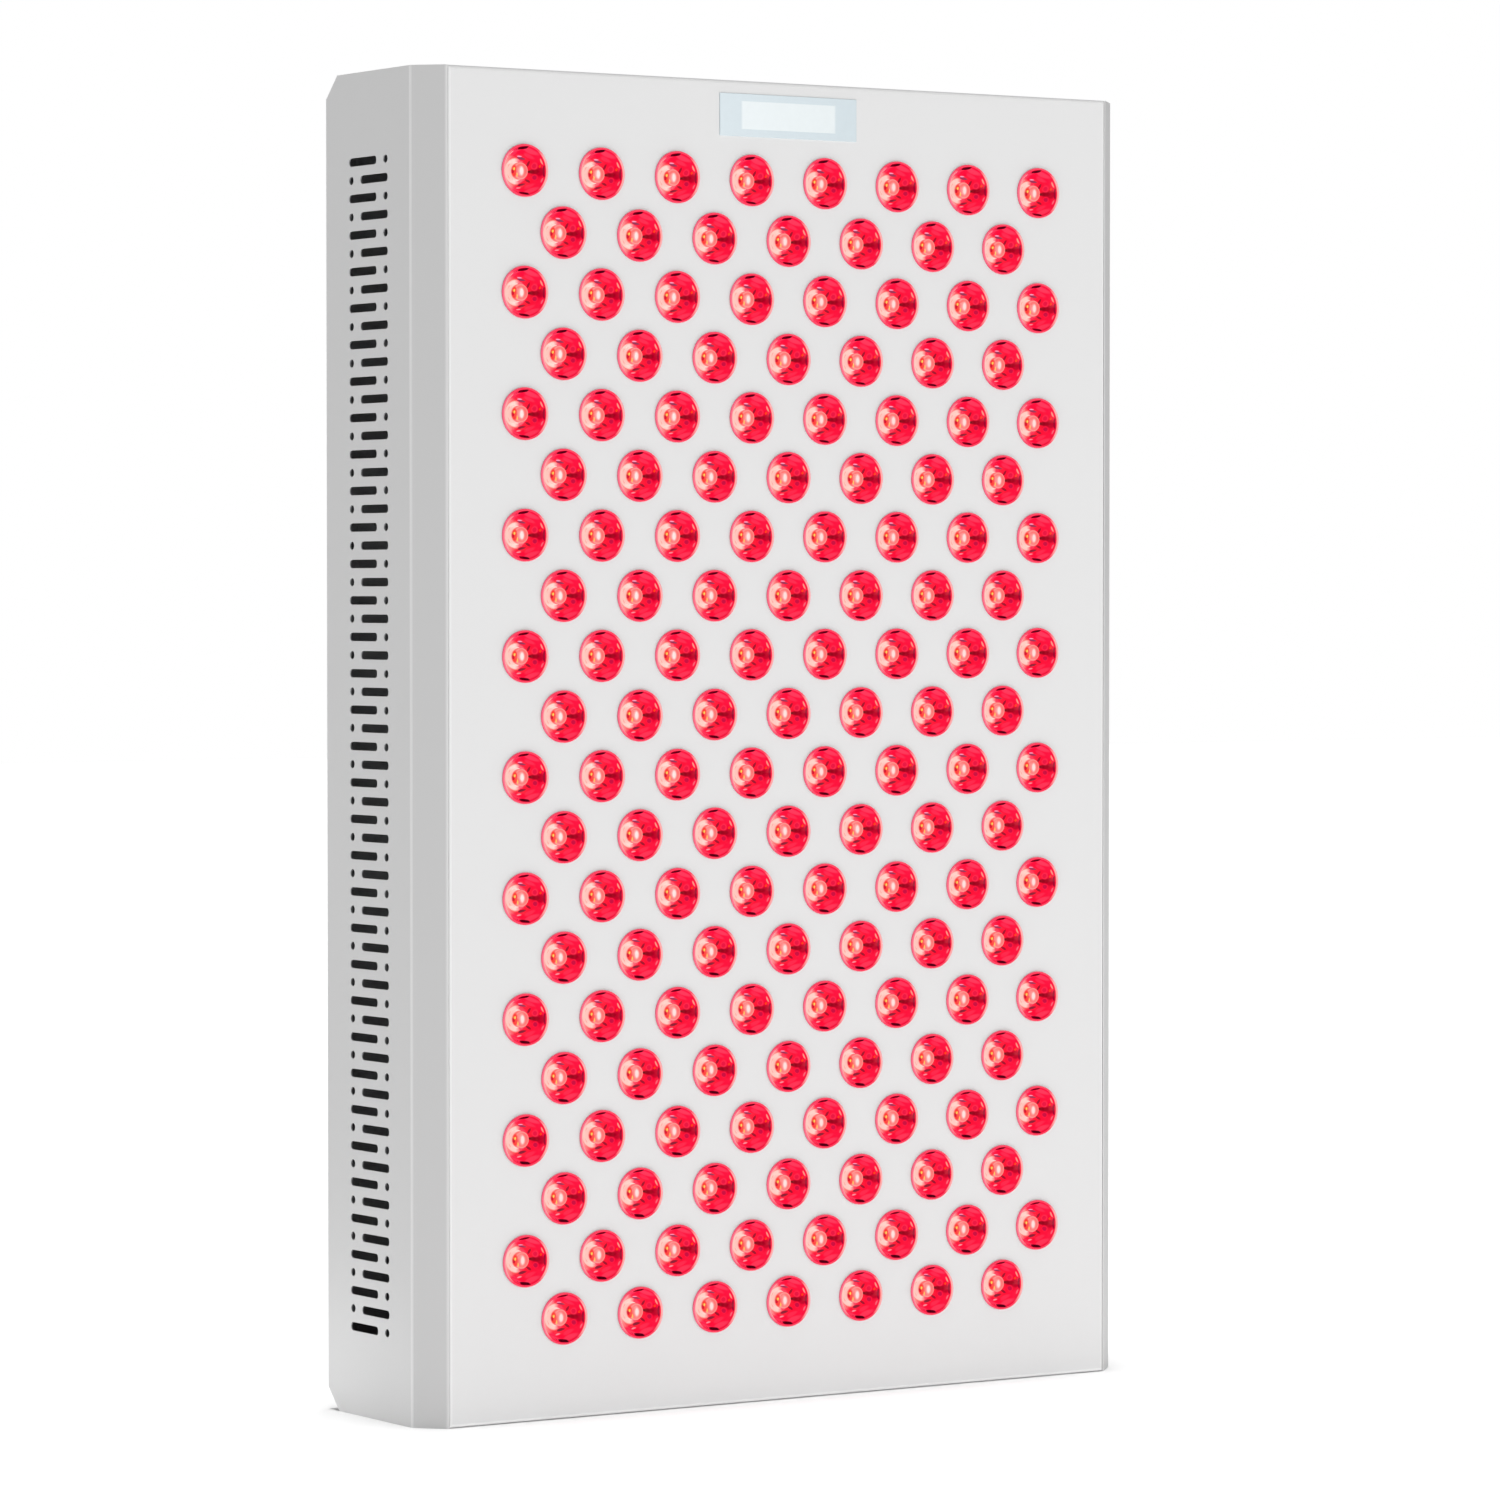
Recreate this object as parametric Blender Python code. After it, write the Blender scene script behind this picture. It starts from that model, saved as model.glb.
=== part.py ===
"""Red light therapy panel: a slim steel box with 150 lensed lamps on its front.

Metres, +Z up, front towards -Y. The origin is the middle of the underside that the panel stands on.
"""

import math

import bmesh
import bpy
from mathutils import Matrix, Vector

# Sheet metal
SHEET = 0.0015
GAP = 0.0003
SEAM = 0.0006
FLANGE = 0.014
OVERRUN = 0.002
FRONT_BEND_RADIUS = 0.002
FRONT_BEND_STEPS = 3
FRONT_CHAMFER = 0.012
REAR_CORNER_CUT = 0.010
FRONT_LIP = 0.015
END_TAB_HEIGHT = 0.012
END_TAB_INSET = 0.008

# Lamps on the front: rows of 8 and rows of 7, staggered by half a pitch
LAMP_COLUMNS = 8
LAMP_ROWS = 20
LAMP_PITCH_X = 0.0393
LAMP_PITCH_Z = 0.0264
FRONT_SIDE_MARGIN = 0.03845
FRONT_END_MARGIN = 0.0442
LENS_DIAMETER = 0.023
LENS_STAND = 0.0013
LENS_SIDES = 8
ROWS_PER_STRIP = 2
STRIP_THICKNESS = 0.0065
STRIP_SPACING = 0.0005
STRIP_EDGE = 0.007
ROWS_PER_BOARD = 4
BOARD_THICKNESS = 0.0016

# Heat sinks and the rails that hold them
SINK_BASE = 0.003
SINK_EDGE = 0.004
FIN_DEPTH = 0.020
FIN_THICKNESS = 0.002
FIN_COUNT = 8
RAIL_SHEET = 0.0015
RAIL_OVERLAP = 0.011
RAIL_REACH = 0.003
RAIL_DEPTH = 0.018
RAIL_CLEARANCE = 0.002

# Fans on the back
FAN_COUNT = 3
FAN_SIZE = 0.120
FAN_DEPTH = 0.025
FAN_CORNER = 0.008
FAN_RIM = 0.002
FAN_SIDES = 20
AIR_GAP = 0.0242
HUB_DIAMETER = 0.040
HUB_SIDES = 16
HUB_FRONT_INSET = 0.002
HUB_CAP = 0.003
SPIDER_THICKNESS = 0.003
STRUT_WIDTH = 0.006
SHAFT_DIAMETER = 0.006
SHAFT_CLEARANCE = 0.0003
SHAFT_SIDES = 8
BLADE_COUNT = 7
BLADE_CHORD = 0.026
BLADE_THICKNESS = 0.0016
BLADE_ANGLE = math.radians(35)
BLADE_ROOT = 0.003
BLADE_TIP_GAP = 0.002
COVER_LIP = 0.001
GUARD_THICKNESS = 0.002
GUARD_BAR = 0.003
GUARD_LEG = 0.007
GUARD_SIDES = 16
GUARD_OVERLAP = 0.002
GUARD_CENTRE_INSET = 0.002
FAN_SCREW_INSET = 0.0075

# Side vents: rows of one slot and one small hole, which change places from row to row
VENT_PITCH = 0.008
VENT_END_MARGIN = 0.039
VENT_FRONT = 0.0315
SLOT_LENGTH = 0.022
SLOT_HEIGHT = 0.0037
VENT_LAND = 0.007
VENT_HOLE = 0.0037

# Display and its board
DISPLAY_TOP_MARGIN = 0.00585
DISPLAY_WIDTH = 0.0732
DISPLAY_HEIGHT = 0.019
DISPLAY_STAND = 0.0008
SCREEN_WIDTH = 0.054
SCREEN_HEIGHT = 0.015
MODULE_EDGE = 0.003
MODULE_DEPTH = 0.004
CONTROL_WIDTH = 0.110
CONTROL_HEIGHT = 0.022
CONTROL_THICKNESS = 0.0016
SPACER_DIAMETER = 0.005
SPACER_INSET_X = 0.005
SPACER_INSET_Z = 0.003
SPACER_SIDES = 6

# Lamp drivers
DRIVER_WIDTH = 0.070
DRIVER_HEIGHT = 0.220
DRIVER_DEPTH = 0.030
DRIVER_FOOT = 0.012
DRIVER_FOOT_THICKNESS = 0.002

# Mains inlet and switch
FITTING_SPACE = 0.004
INLET_FLANGE_WIDTH = 0.050
INLET_FLANGE_HEIGHT = 0.0225
INLET_FLANGE_THICKNESS = 0.0022
INLET_FLANGE_CORNER = 0.005
INLET_BODY_WIDTH = 0.0274
INLET_BODY_HEIGHT = 0.020
INLET_BODY_DEPTH = 0.020
SOCKET_WIDTH = 0.024
SOCKET_HEIGHT = 0.0165
SOCKET_CORNER = 0.004
SOCKET_FLOOR = 0.0045
PIN_WIDTH = 0.002
PIN_HEIGHT = 0.004
PIN_SPACING = 0.014
PIN_OFFSET = 0.002
PIN_INSET = 0.002
SWITCH_BEZEL_WIDTH = 0.026
SWITCH_BEZEL_HEIGHT = 0.032
SWITCH_BEZEL_THICKNESS = 0.002
SWITCH_BODY_WIDTH = 0.022
SWITCH_BODY_HEIGHT = 0.0286
SWITCH_BODY_DEPTH = 0.016
SWITCH_WALL = 0.001
SWITCH_SIDE_WALL = 0.0013
SWITCH_FLOOR = 0.006
ROCKER_PIVOT_DEPTH = 0.002
ROCKER_END_CLEARANCE = 0.0004
ROCKER_TOP_INSET = 0.0011
ROCKER_STAND = 0.0055
ROCKER_DIP = 0.0015
ROCKER_KEEL = 0.006
ROCKER_KEEL_HALF = 0.008
ROCKER_TILT = math.radians(7)
PIVOT_DIAMETER = 0.0022
PIVOT_LENGTH = 0.0009
PIVOT_CLEARANCE = 0.0003
PIVOT_SIDES = 6

# Screws that hold the back cover
COVER_SCREWS_PER_SIDE = 3
SCREW_HEAD_DIAMETER = 0.007
SCREW_HEAD_HEIGHT = 0.0022
SCREW_DIAMETER = 0.0034
SCREW_LENGTH = 0.0065
SCREW_CLEARANCE = 0.0003
SCREW_SIDES = 8
SCREW_HOLE_SIDES = 6
SCREW_END_MARGIN = 0.060

# Leads inside the box
LEAD_DIAMETER = 0.006
SIGNAL_LEAD_DIAMETER = 0.004
LEAD_STRAIGHT = 0.006
LEAD_SEAT = 0.0006
LEAD_STEP_SHARE = 3

# Sizes that follow from the ones above
FRONT_HALF = (LAMP_COLUMNS - 1) * LAMP_PITCH_X / 2 + FRONT_SIDE_MARGIN
HALF_WIDTH = FRONT_HALF + FRONT_CHAMFER
HEIGHT = (LAMP_ROWS - 1) * LAMP_PITCH_Z + 2 * FRONT_END_MARGIN
LAMP_STACK = SHEET + STRIP_THICKNESS + BOARD_THICKNESS + SINK_BASE + 3 * GAP
DEPTH = LAMP_STACK + FIN_DEPTH + AIR_GAP + FAN_DEPTH + GAP + 2 * SHEET
FRONT = -DEPTH / 2
BACK = DEPTH / 2
INNER_BACK = BACK - SHEET
FLANGE_BACK = INNER_BACK - GAP
FLANGE_FRONT = FLANGE_BACK - SHEET
WALL_INNER = HALF_WIDTH - SHEET
INSERT_HALF = WALL_INNER - GAP
PLATE_INNER = FRONT + SHEET
CORNER_Y = BACK - REAR_CORNER_CUT
MITRE = SHEET * (math.sqrt(2) - 1)
CHAMFER_INNER_SUM = FRONT_HALF - FRONT - math.sqrt(2) * SHEET
TOP_INNER = HEIGHT - SHEET
END_FLANGE_TOP = REAR_CORNER_CUT + FLANGE
SIDE_FLANGE_INNER = HALF_WIDTH - FLANGE - SHEET

STRIP_HALF = (LAMP_COLUMNS - 1) * LAMP_PITCH_X / 2 + LENS_DIAMETER / 2 + STRIP_EDGE
STRIP_FRONT = PLATE_INNER + GAP
STRIP_BACK = STRIP_FRONT + STRIP_THICKNESS
BOARD_FRONT = STRIP_BACK + GAP
BOARD_BACK = BOARD_FRONT + BOARD_THICKNESS
SINK_FRONT = BOARD_BACK + GAP
SINK_BACK = SINK_FRONT + SINK_BASE
FIN_BACK = SINK_BACK + FIN_DEPTH
SINK_HALF = STRIP_HALF + SINK_EDGE
FIN_HALF = SINK_HALF - RAIL_OVERLAP - RAIL_CLEARANCE
RAIL_FRONT = SINK_BACK + GAP

FAN_BORE = FAN_SIZE - 2 * FAN_RIM
COVER_OPENING = FAN_BORE - 2 * COVER_LIP
GUARD_OUTER_DIAMETER = COVER_OPENING + 2 * GUARD_OVERLAP
GUARD_CENTRE_DIAMETER = HUB_DIAMETER - 2 * GUARD_CENTRE_INSET
GUARD_MIDDLE_DIAMETER = (GUARD_OUTER_DIAMETER + GUARD_CENTRE_DIAMETER) / 2
FAN_SCREW_SPACING = FAN_SIZE - 2 * FAN_SCREW_INSET
FAN_ZONE = HEIGHT - 2 * (END_FLANGE_TOP + GAP)
FAN_PITCH = FAN_ZONE / FAN_COUNT
SWITCH_X = -(FAN_SIZE / 2 + FITTING_SPACE + SWITCH_BEZEL_WIDTH / 2)
INLET_X = SWITCH_X - SWITCH_BEZEL_WIDTH / 2 - FITTING_SPACE - INLET_FLANGE_WIDTH / 2
FITTING_Z = END_FLANGE_TOP + FITTING_SPACE + SWITCH_BEZEL_HEIGHT / 2
DRIVER_X = (FAN_SIZE / 2 + SIDE_FLANGE_INNER) / 2
DISPLAY_Z = HEIGHT - DISPLAY_TOP_MARGIN - DISPLAY_HEIGHT / 2
MODULE_FRONT = PLATE_INNER + GAP
MODULE_BACK = MODULE_FRONT + MODULE_DEPTH
CONTROL_FRONT = MODULE_BACK + GAP
CONTROL_BACK = CONTROL_FRONT + CONTROL_THICKNESS


def clear_scene():
    for thing in list(bpy.data.objects):
        bpy.data.objects.remove(thing)


def linear(channel):
    if channel <= 0.04045:
        return channel / 12.92
    return ((channel + 0.055) / 1.055) ** 2.4


def material(name, colour, roughness, metallic=0.0):
    """A plain finish from an sRGB hex colour."""
    made = bpy.data.materials.new(name)
    made.use_nodes = True
    shader = made.node_tree.nodes["Principled BSDF"]
    channels = [int(colour[i : i + 2], 16) / 255 for i in (0, 2, 4)]
    shader.inputs["Base Color"].default_value = (*map(linear, channels), 1.0)
    shader.inputs["Roughness"].default_value = roughness
    shader.inputs["Metallic"].default_value = metallic
    made.diffuse_color = shader.inputs["Base Color"].default_value
    return made


def add_prism(shape, outline, low, high, axis):
    """Extrudes an outline from low to high along one axis, inside an open bmesh."""
    place = {
        "X": lambda u, v, w: (w, u, v),
        "Y": lambda u, v, w: (u, w, v),
        "Z": lambda u, v, w: (u, v, w),
    }[axis]
    start = [shape.verts.new(place(u, v, low)) for u, v in outline]
    made = bmesh.ops.extrude_face_region(shape, geom=[shape.faces.new(start)])
    moved = [part for part in made["geom"] if isinstance(part, bmesh.types.BMVert)]
    bmesh.ops.translate(shape, verts=moved, vec=Vector(place(0, 0, high - low)))


def add_ring(shape, outer, inner, low, high, sides):
    """A flat ring round the Y axis."""
    loops = []
    for radius, y in ((outer, low), (outer, high), (inner, high), (inner, low)):
        loops.append([shape.verts.new((u, y, v)) for u, v in circle(radius, sides)])
    for one, other in zip(loops, loops[1:] + loops[:1]):
        for i in range(sides):
            after = (i + 1) % sides
            shape.faces.new((one[i], one[after], other[after], other[i]))


def body_from(shape, name="body"):
    """Turns a bmesh of closed shapes into an object with its faces pointing out."""
    bmesh.ops.recalc_face_normals(shape, faces=shape.faces)
    mesh = bpy.data.meshes.new(name)
    shape.to_mesh(mesh)
    shape.free()
    body = bpy.data.objects.new(name, mesh)
    bpy.context.scene.collection.objects.link(body)
    return body


def prism(outline, low, high, axis):
    shape = bmesh.new()
    add_prism(shape, outline, low, high, axis)
    return body_from(shape)


def turned(profile, sides):
    """Spins a profile of (radius, y) points, which starts and ends on the axis, round the Y axis."""
    shape = bmesh.new()
    points = [shape.verts.new((radius, y, 0)) for radius, y in profile]
    edges = [shape.edges.new(pair) for pair in zip(points, points[1:])]
    bmesh.ops.spin(
        shape,
        geom=points + edges,
        cent=Vector(),
        axis=Vector((0, 1, 0)),
        angle=2 * math.pi,
        steps=sides,
        use_merge=True,
    )
    on_axis = [point for point in shape.verts if math.hypot(point.co.x, point.co.z) < GAP / 10]
    bmesh.ops.remove_doubles(shape, verts=on_axis, dist=GAP / 10)
    return body_from(shape)


def combine(body, tool, operation):
    """Applies one Boolean to a body and drops the tool."""
    modifier = body.modifiers.new(operation, "BOOLEAN")
    modifier.object = tool
    modifier.operation = operation
    modifier.solver = "EXACT"
    graph = bpy.context.evaluated_depsgraph_get()
    graph.update()
    before = body.data
    mesh = bpy.data.meshes.new_from_object(body.evaluated_get(graph))
    body.modifiers.clear()
    body.data = mesh
    bpy.data.meshes.remove(before)
    bpy.data.objects.remove(tool)
    return body


def finish(body, name, finish_material, place=(0, 0, 0)):
    """Names a body, gives it its material and smooth round sides, and puts it in its place."""
    body.name = name
    body.data.name = name
    body.data.materials.clear()
    body.data.materials.append(finish_material)
    body.data.shade_smooth()
    body.data.set_sharp_from_angle(angle=math.radians(40))
    body.location = place
    return body


def copies(body, names, places):
    """The body itself for the first name, and objects that share its mesh for the others."""
    base = body.name
    made = []
    for name, place in zip(names, places):
        copy = body if not made else bpy.data.objects.new(name, body.data)
        if made:
            bpy.context.scene.collection.objects.link(copy)
        copy.name = name
        copy.location = place
        made.append(copy)
    body.data.name = base
    return made


def rectangle(width, height, centre=(0, 0)):
    u, v = centre
    return [
        (u - width / 2, v - height / 2),
        (u + width / 2, v - height / 2),
        (u + width / 2, v + height / 2),
        (u - width / 2, v + height / 2),
    ]


def span(left, right, bottom, top):
    return [(left, bottom), (right, bottom), (right, top), (left, top)]


def cut_corners(width, height, corner, centre=(0, 0)):
    """A rectangle with its four corners cut at 45 degrees."""
    u, v = centre
    right = width / 2
    top = height / 2
    points = [
        (right, corner - top),
        (right, top - corner),
        (right - corner, top),
        (corner - right, top),
        (-right, top - corner),
        (-right, corner - top),
        (corner - right, -top),
        (right - corner, -top),
    ]
    return [(u + x, v + z) for x, z in points]


def circle(radius, sides, centre=(0, 0)):
    u, v = centre
    turns = [2 * math.pi * (i + 0.5) / sides for i in range(sides)]
    return [(u + radius * math.cos(turn), v + radius * math.sin(turn)) for turn in turns]


def round_clear_of(radius, sides):
    """The radius of a regular outline whose flat sides stay outside a circle."""
    return radius / math.cos(math.pi / sides)


def mirrored(outline):
    return [(-u, v) for u, v in reversed(outline)]


def lamp_rows():
    """Each row of lamps from the top down: its height and the places along it."""
    for row in range(LAMP_ROWS):
        count = LAMP_COLUMNS - row % 2
        z = HEIGHT - FRONT_END_MARGIN - row * LAMP_PITCH_Z
        yield z, [(i - (count - 1) / 2) * LAMP_PITCH_X for i in range(count)]


def cover_screw_places():
    side = HALF_WIDTH - SHEET - FLANGE / 2
    run = HEIGHT - 2 * SCREW_END_MARGIN
    step = run / (COVER_SCREWS_PER_SIDE - 1)
    heights = [SCREW_END_MARGIN + i * step for i in range(COVER_SCREWS_PER_SIDE)]
    return [(x, z) for x in (-side, side) for z in heights]


def fan_places():
    first = END_FLANGE_TOP + GAP + FAN_PITCH / 2
    return [first + i * FAN_PITCH for i in range(FAN_COUNT)]


def screw_hole_tool(places, low, high):
    shape = bmesh.new()
    radius = round_clear_of(SCREW_DIAMETER / 2 + SCREW_CLEARANCE, SCREW_HOLE_SIDES)
    for place in places:
        add_prism(shape, circle(radius, SCREW_HOLE_SIDES, place), low, high, "Y")
    return body_from(shape)


def front_plate(paint):
    """A flat sheet bent back along its top and bottom edges, with holes for the lenses and the screen."""
    arc = [math.pi / 2 * i / FRONT_BEND_STEPS for i in range(FRONT_BEND_STEPS + 1)]
    inner_radius = FRONT_BEND_RADIUS - SHEET
    lip_end = FRONT + FRONT_LIP
    bend_y = FRONT + FRONT_BEND_RADIUS
    bend_z = HEIGHT - FRONT_BEND_RADIUS

    def top_bend(radius):
        return [(bend_y - radius * math.sin(t), bend_z + radius * math.cos(t)) for t in arc]

    outer = [(lip_end, HEIGHT)] + top_bend(FRONT_BEND_RADIUS)
    inner = [(lip_end, TOP_INNER)] + top_bend(inner_radius)
    low_outer = [(y, HEIGHT - z) for y, z in reversed(outer)]
    low_inner = [(y, HEIGHT - z) for y, z in inner]
    section = outer + low_outer + low_inner + inner[::-1]
    plate = prism(section, -INSERT_HALF, INSERT_HALF, "X")

    edge = FRONT_HALF - SEAM
    clear_sum = CHAMFER_INNER_SUM - math.sqrt(2) * GAP
    half_plan = [
        (edge, FRONT - OVERRUN),
        (edge, edge - clear_sum),
        (INSERT_HALF, INSERT_HALF - clear_sum),
        (INSERT_HALF + OVERRUN, INSERT_HALF - clear_sum),
        (INSERT_HALF + OVERRUN, lip_end + OVERRUN),
    ]
    plan = half_plan + mirrored(half_plan)
    combine(plate, prism(plan, -OVERRUN, HEIGHT + OVERRUN, "Z"), "INTERSECT")

    holes = bmesh.new()
    through = (FRONT - OVERRUN, PLATE_INNER + OVERRUN, "Y")
    radius = round_clear_of(LENS_DIAMETER / 2 + GAP, LENS_SIDES)
    for z, row in lamp_rows():
        for x in row:
            add_prism(holes, circle(radius, LENS_SIDES, (x, z)), *through)
    add_prism(holes, rectangle(SCREEN_WIDTH, SCREEN_HEIGHT, (0, DISPLAY_Z)), *through)
    combine(plate, body_from(holes), "DIFFERENCE")
    finish(plate, "front_plate", paint)


def side_panel(name, side, paint):
    """One bent sheet: the side wall with its vents, the front chamfer, and a flange behind each cover."""

    def turn(outline):
        return [(-u, v) for u, v in outline] if side > 0 else outline

    strip_end = CHAMFER_INNER_SUM - FRONT_HALF
    section = [
        (-HALF_WIDTH, BACK),
        (-HALF_WIDTH, FRONT + FRONT_CHAMFER),
        (-FRONT_HALF, FRONT),
        (-FRONT_HALF, -strip_end),
        (-WALL_INNER, WALL_INNER - CHAMFER_INNER_SUM),
        (-WALL_INNER, BACK),
    ]
    panel = prism(turn(section), 0, HEIGHT, "Z")

    corner = bmesh.new()
    reach = HALF_WIDTH + OVERRUN
    for low_end in (False, True):
        cut = [(CORNER_Y - OVERRUN, HEIGHT + OVERRUN), (BACK + OVERRUN, HEIGHT + OVERRUN)]
        cut.append((BACK + OVERRUN, HEIGHT - REAR_CORNER_CUT - OVERRUN))
        cut = [(y, HEIGHT - z) for y, z in cut] if low_end else cut
        add_prism(corner, cut, -reach, reach, "X")
    combine(panel, body_from(corner), "DIFFERENCE")

    front_flange = span(
        SHEET / 2 - FRONT_HALF - SHEET - MITRE,
        FLANGE - FRONT_HALF,
        PLATE_INNER + GAP,
        PLATE_INNER + GAP + SHEET,
    )
    flange_low = SHEET + GAP + OVERRUN
    combine(panel, prism(turn(front_flange), flange_low, HEIGHT - flange_low, "Z"), "UNION")
    rear_flange = span(-WALL_INNER - SHEET / 2, -SIDE_FLANGE_INNER, FLANGE_FRONT, FLANGE_BACK)
    flange_low = END_FLANGE_TOP + GAP
    combine(panel, prism(turn(rear_flange), flange_low, HEIGHT - flange_low, "Z"), "UNION")

    vents = bmesh.new()
    rows = 1 + math.floor(round((HEIGHT - 2 * VENT_END_MARGIN) / VENT_PITCH, 3))
    band = SLOT_LENGTH + VENT_LAND + VENT_HOLE
    front_edge = FRONT + VENT_FRONT
    walls = sorted((side * (WALL_INNER - OVERRUN), side * (HALF_WIDTH + OVERRUN)))
    for row in range(rows):
        z = HEIGHT / 2 + ((rows - 1) / 2 - row) * VENT_PITCH
        slot_y = front_edge + SLOT_LENGTH / 2
        hole_y = front_edge + band - VENT_HOLE / 2
        if row % 2 == 0:
            slot_y = front_edge + band - SLOT_LENGTH / 2
            hole_y = front_edge + VENT_HOLE / 2
        add_prism(vents, rectangle(SLOT_LENGTH, SLOT_HEIGHT, (slot_y, z)), *walls, "X")
        half = VENT_HOLE / 2
        diamond = [(hole_y + half, z), (hole_y, z + half), (hole_y - half, z), (hole_y, z - half)]
        add_prism(vents, diamond, *walls, "X")
    combine(panel, body_from(vents), "DIFFERENCE")

    places = [place for place in cover_screw_places() if place[0] * side > 0]
    combine(panel, screw_hole_tool(places, FLANGE_FRONT - OVERRUN, FLANGE_BACK + OVERRUN), "DIFFERENCE")
    finish(panel, name, paint)


def end_plate(name, low_end, paint):
    """The top or bottom of the box: a sheet bent down at the back, with a flange behind the back cover."""
    inner_sum = CORNER_Y + HEIGHT - math.sqrt(2) * SHEET
    front = FRONT + FRONT_LIP + GAP
    section = [
        (front, HEIGHT),
        (CORNER_Y, HEIGHT),
        (BACK, HEIGHT - REAR_CORNER_CUT),
        (FLANGE_BACK, HEIGHT - REAR_CORNER_CUT),
        (FLANGE_BACK, HEIGHT - END_FLANGE_TOP),
        (FLANGE_FRONT, HEIGHT - END_FLANGE_TOP),
        (FLANGE_FRONT, inner_sum - FLANGE_FRONT),
        (inner_sum - TOP_INNER, TOP_INNER),
        (front, TOP_INNER),
    ]
    tab = span(
        front + END_TAB_INSET,
        CORNER_Y - END_TAB_INSET,
        TOP_INNER - END_TAB_HEIGHT,
        HEIGHT - SHEET / 2,
    )
    if low_end:
        section = [(y, HEIGHT - z) for y, z in section]
        tab = [(y, HEIGHT - z) for y, z in tab]
    plate = prism(section, -INSERT_HALF, INSERT_HALF, "X")
    tabs = bmesh.new()
    add_prism(tabs, tab, -INSERT_HALF, SHEET - INSERT_HALF, "X")
    add_prism(tabs, tab, INSERT_HALF - SHEET, INSERT_HALF, "X")
    combine(plate, body_from(tabs), "UNION")
    finish(plate, name, paint)


def back_cover(paint):
    """A flat sheet with openings for the fans, the inlet, the switch and the screws."""
    low = REAR_CORNER_CUT + GAP
    cover = prism(span(-INSERT_HALF, INSERT_HALF, low, HEIGHT - low), INNER_BACK, BACK, "Y")
    openings = bmesh.new()
    through = (INNER_BACK - OVERRUN, BACK + OVERRUN, "Y")
    for z in fan_places():
        add_prism(openings, circle(COVER_OPENING / 2, FAN_SIDES, (0, z)), *through)
    inlet = rectangle(INLET_BODY_WIDTH + 2 * GAP, INLET_BODY_HEIGHT + 2 * GAP, (INLET_X, FITTING_Z))
    add_prism(openings, inlet, *through)
    switch = rectangle(SWITCH_BODY_WIDTH + 2 * GAP, SWITCH_BODY_HEIGHT + 2 * GAP, (SWITCH_X, FITTING_Z))
    add_prism(openings, switch, *through)
    combine(cover, body_from(openings), "DIFFERENCE")
    combine(cover, screw_hole_tool(cover_screw_places(), *through[:2]), "DIFFERENCE")
    finish(cover, "back_cover", paint)


def lens_strips(red_clear):
    """Moulded strips behind the front plate. Each carries two rows of lenses that stand through the holes."""
    height = ROWS_PER_STRIP * LAMP_PITCH_Z - STRIP_SPACING
    strip = prism(rectangle(2 * STRIP_HALF, height), 0, STRIP_THICKNESS, "Y")
    rows = [row for _, row in lamp_rows()][:ROWS_PER_STRIP]
    lenses = bmesh.new()
    stand = -(GAP + SHEET + LENS_STAND)
    for number, row in enumerate(rows):
        z = ((ROWS_PER_STRIP - 1) / 2 - number) * LAMP_PITCH_Z
        for x in row:
            outline = circle(LENS_DIAMETER / 2, LENS_SIDES, (x, z))
            add_prism(lenses, outline, stand, STRIP_THICKNESS / 2, "Y")
    combine(strip, body_from(lenses), "UNION")
    finish(strip, "lens_strip", red_clear)
    count = LAMP_ROWS // ROWS_PER_STRIP
    first = HEIGHT - FRONT_END_MARGIN - (ROWS_PER_STRIP - 1) / 2 * LAMP_PITCH_Z
    places = [(0, STRIP_FRONT, first - i * ROWS_PER_STRIP * LAMP_PITCH_Z) for i in range(count)]
    copies(strip, [f"lens_strip_{i + 1:02d}" for i in range(count)], places)


def board_places(y):
    count = LAMP_ROWS // ROWS_PER_BOARD
    first = HEIGHT - FRONT_END_MARGIN - (ROWS_PER_BOARD - 1) / 2 * LAMP_PITCH_Z
    return [(0, y, first - i * ROWS_PER_BOARD * LAMP_PITCH_Z) for i in range(count)]


def lamp_boards(board_white):
    """Metal-core circuit boards, one for every four rows of lamps."""
    height = ROWS_PER_BOARD * LAMP_PITCH_Z - STRIP_SPACING
    board = prism(rectangle(2 * STRIP_HALF, height), 0, BOARD_THICKNESS, "Y")
    finish(board, "lamp_board", board_white)
    places = board_places(BOARD_FRONT)
    copies(board, [f"lamp_board_{i + 1}" for i in range(len(places))], places)


def heat_sinks(aluminium):
    """Extruded plates with fins that run across the box, one behind each board."""
    height = ROWS_PER_BOARD * LAMP_PITCH_Z - STRIP_SPACING
    low = -height / 2
    pitch = (height - FIN_THICKNESS) / (FIN_COUNT - 1)
    fins = bmesh.new()
    for i in range(FIN_COUNT):
        fin = low + i * pitch
        outline = span(SINK_BASE / 2, SINK_BASE + FIN_DEPTH, fin, fin + FIN_THICKNESS)
        add_prism(fins, outline, -FIN_HALF, FIN_HALF, "X")
    sink = prism(rectangle(2 * SINK_HALF, height), 0, SINK_BASE, "Y")
    combine(sink, body_from(fins), "UNION")
    finish(sink, "heat_sink", aluminium)
    places = board_places(SINK_FRONT)
    copies(sink, [f"heat_sink_{i + 1}" for i in range(len(places))], places)


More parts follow.
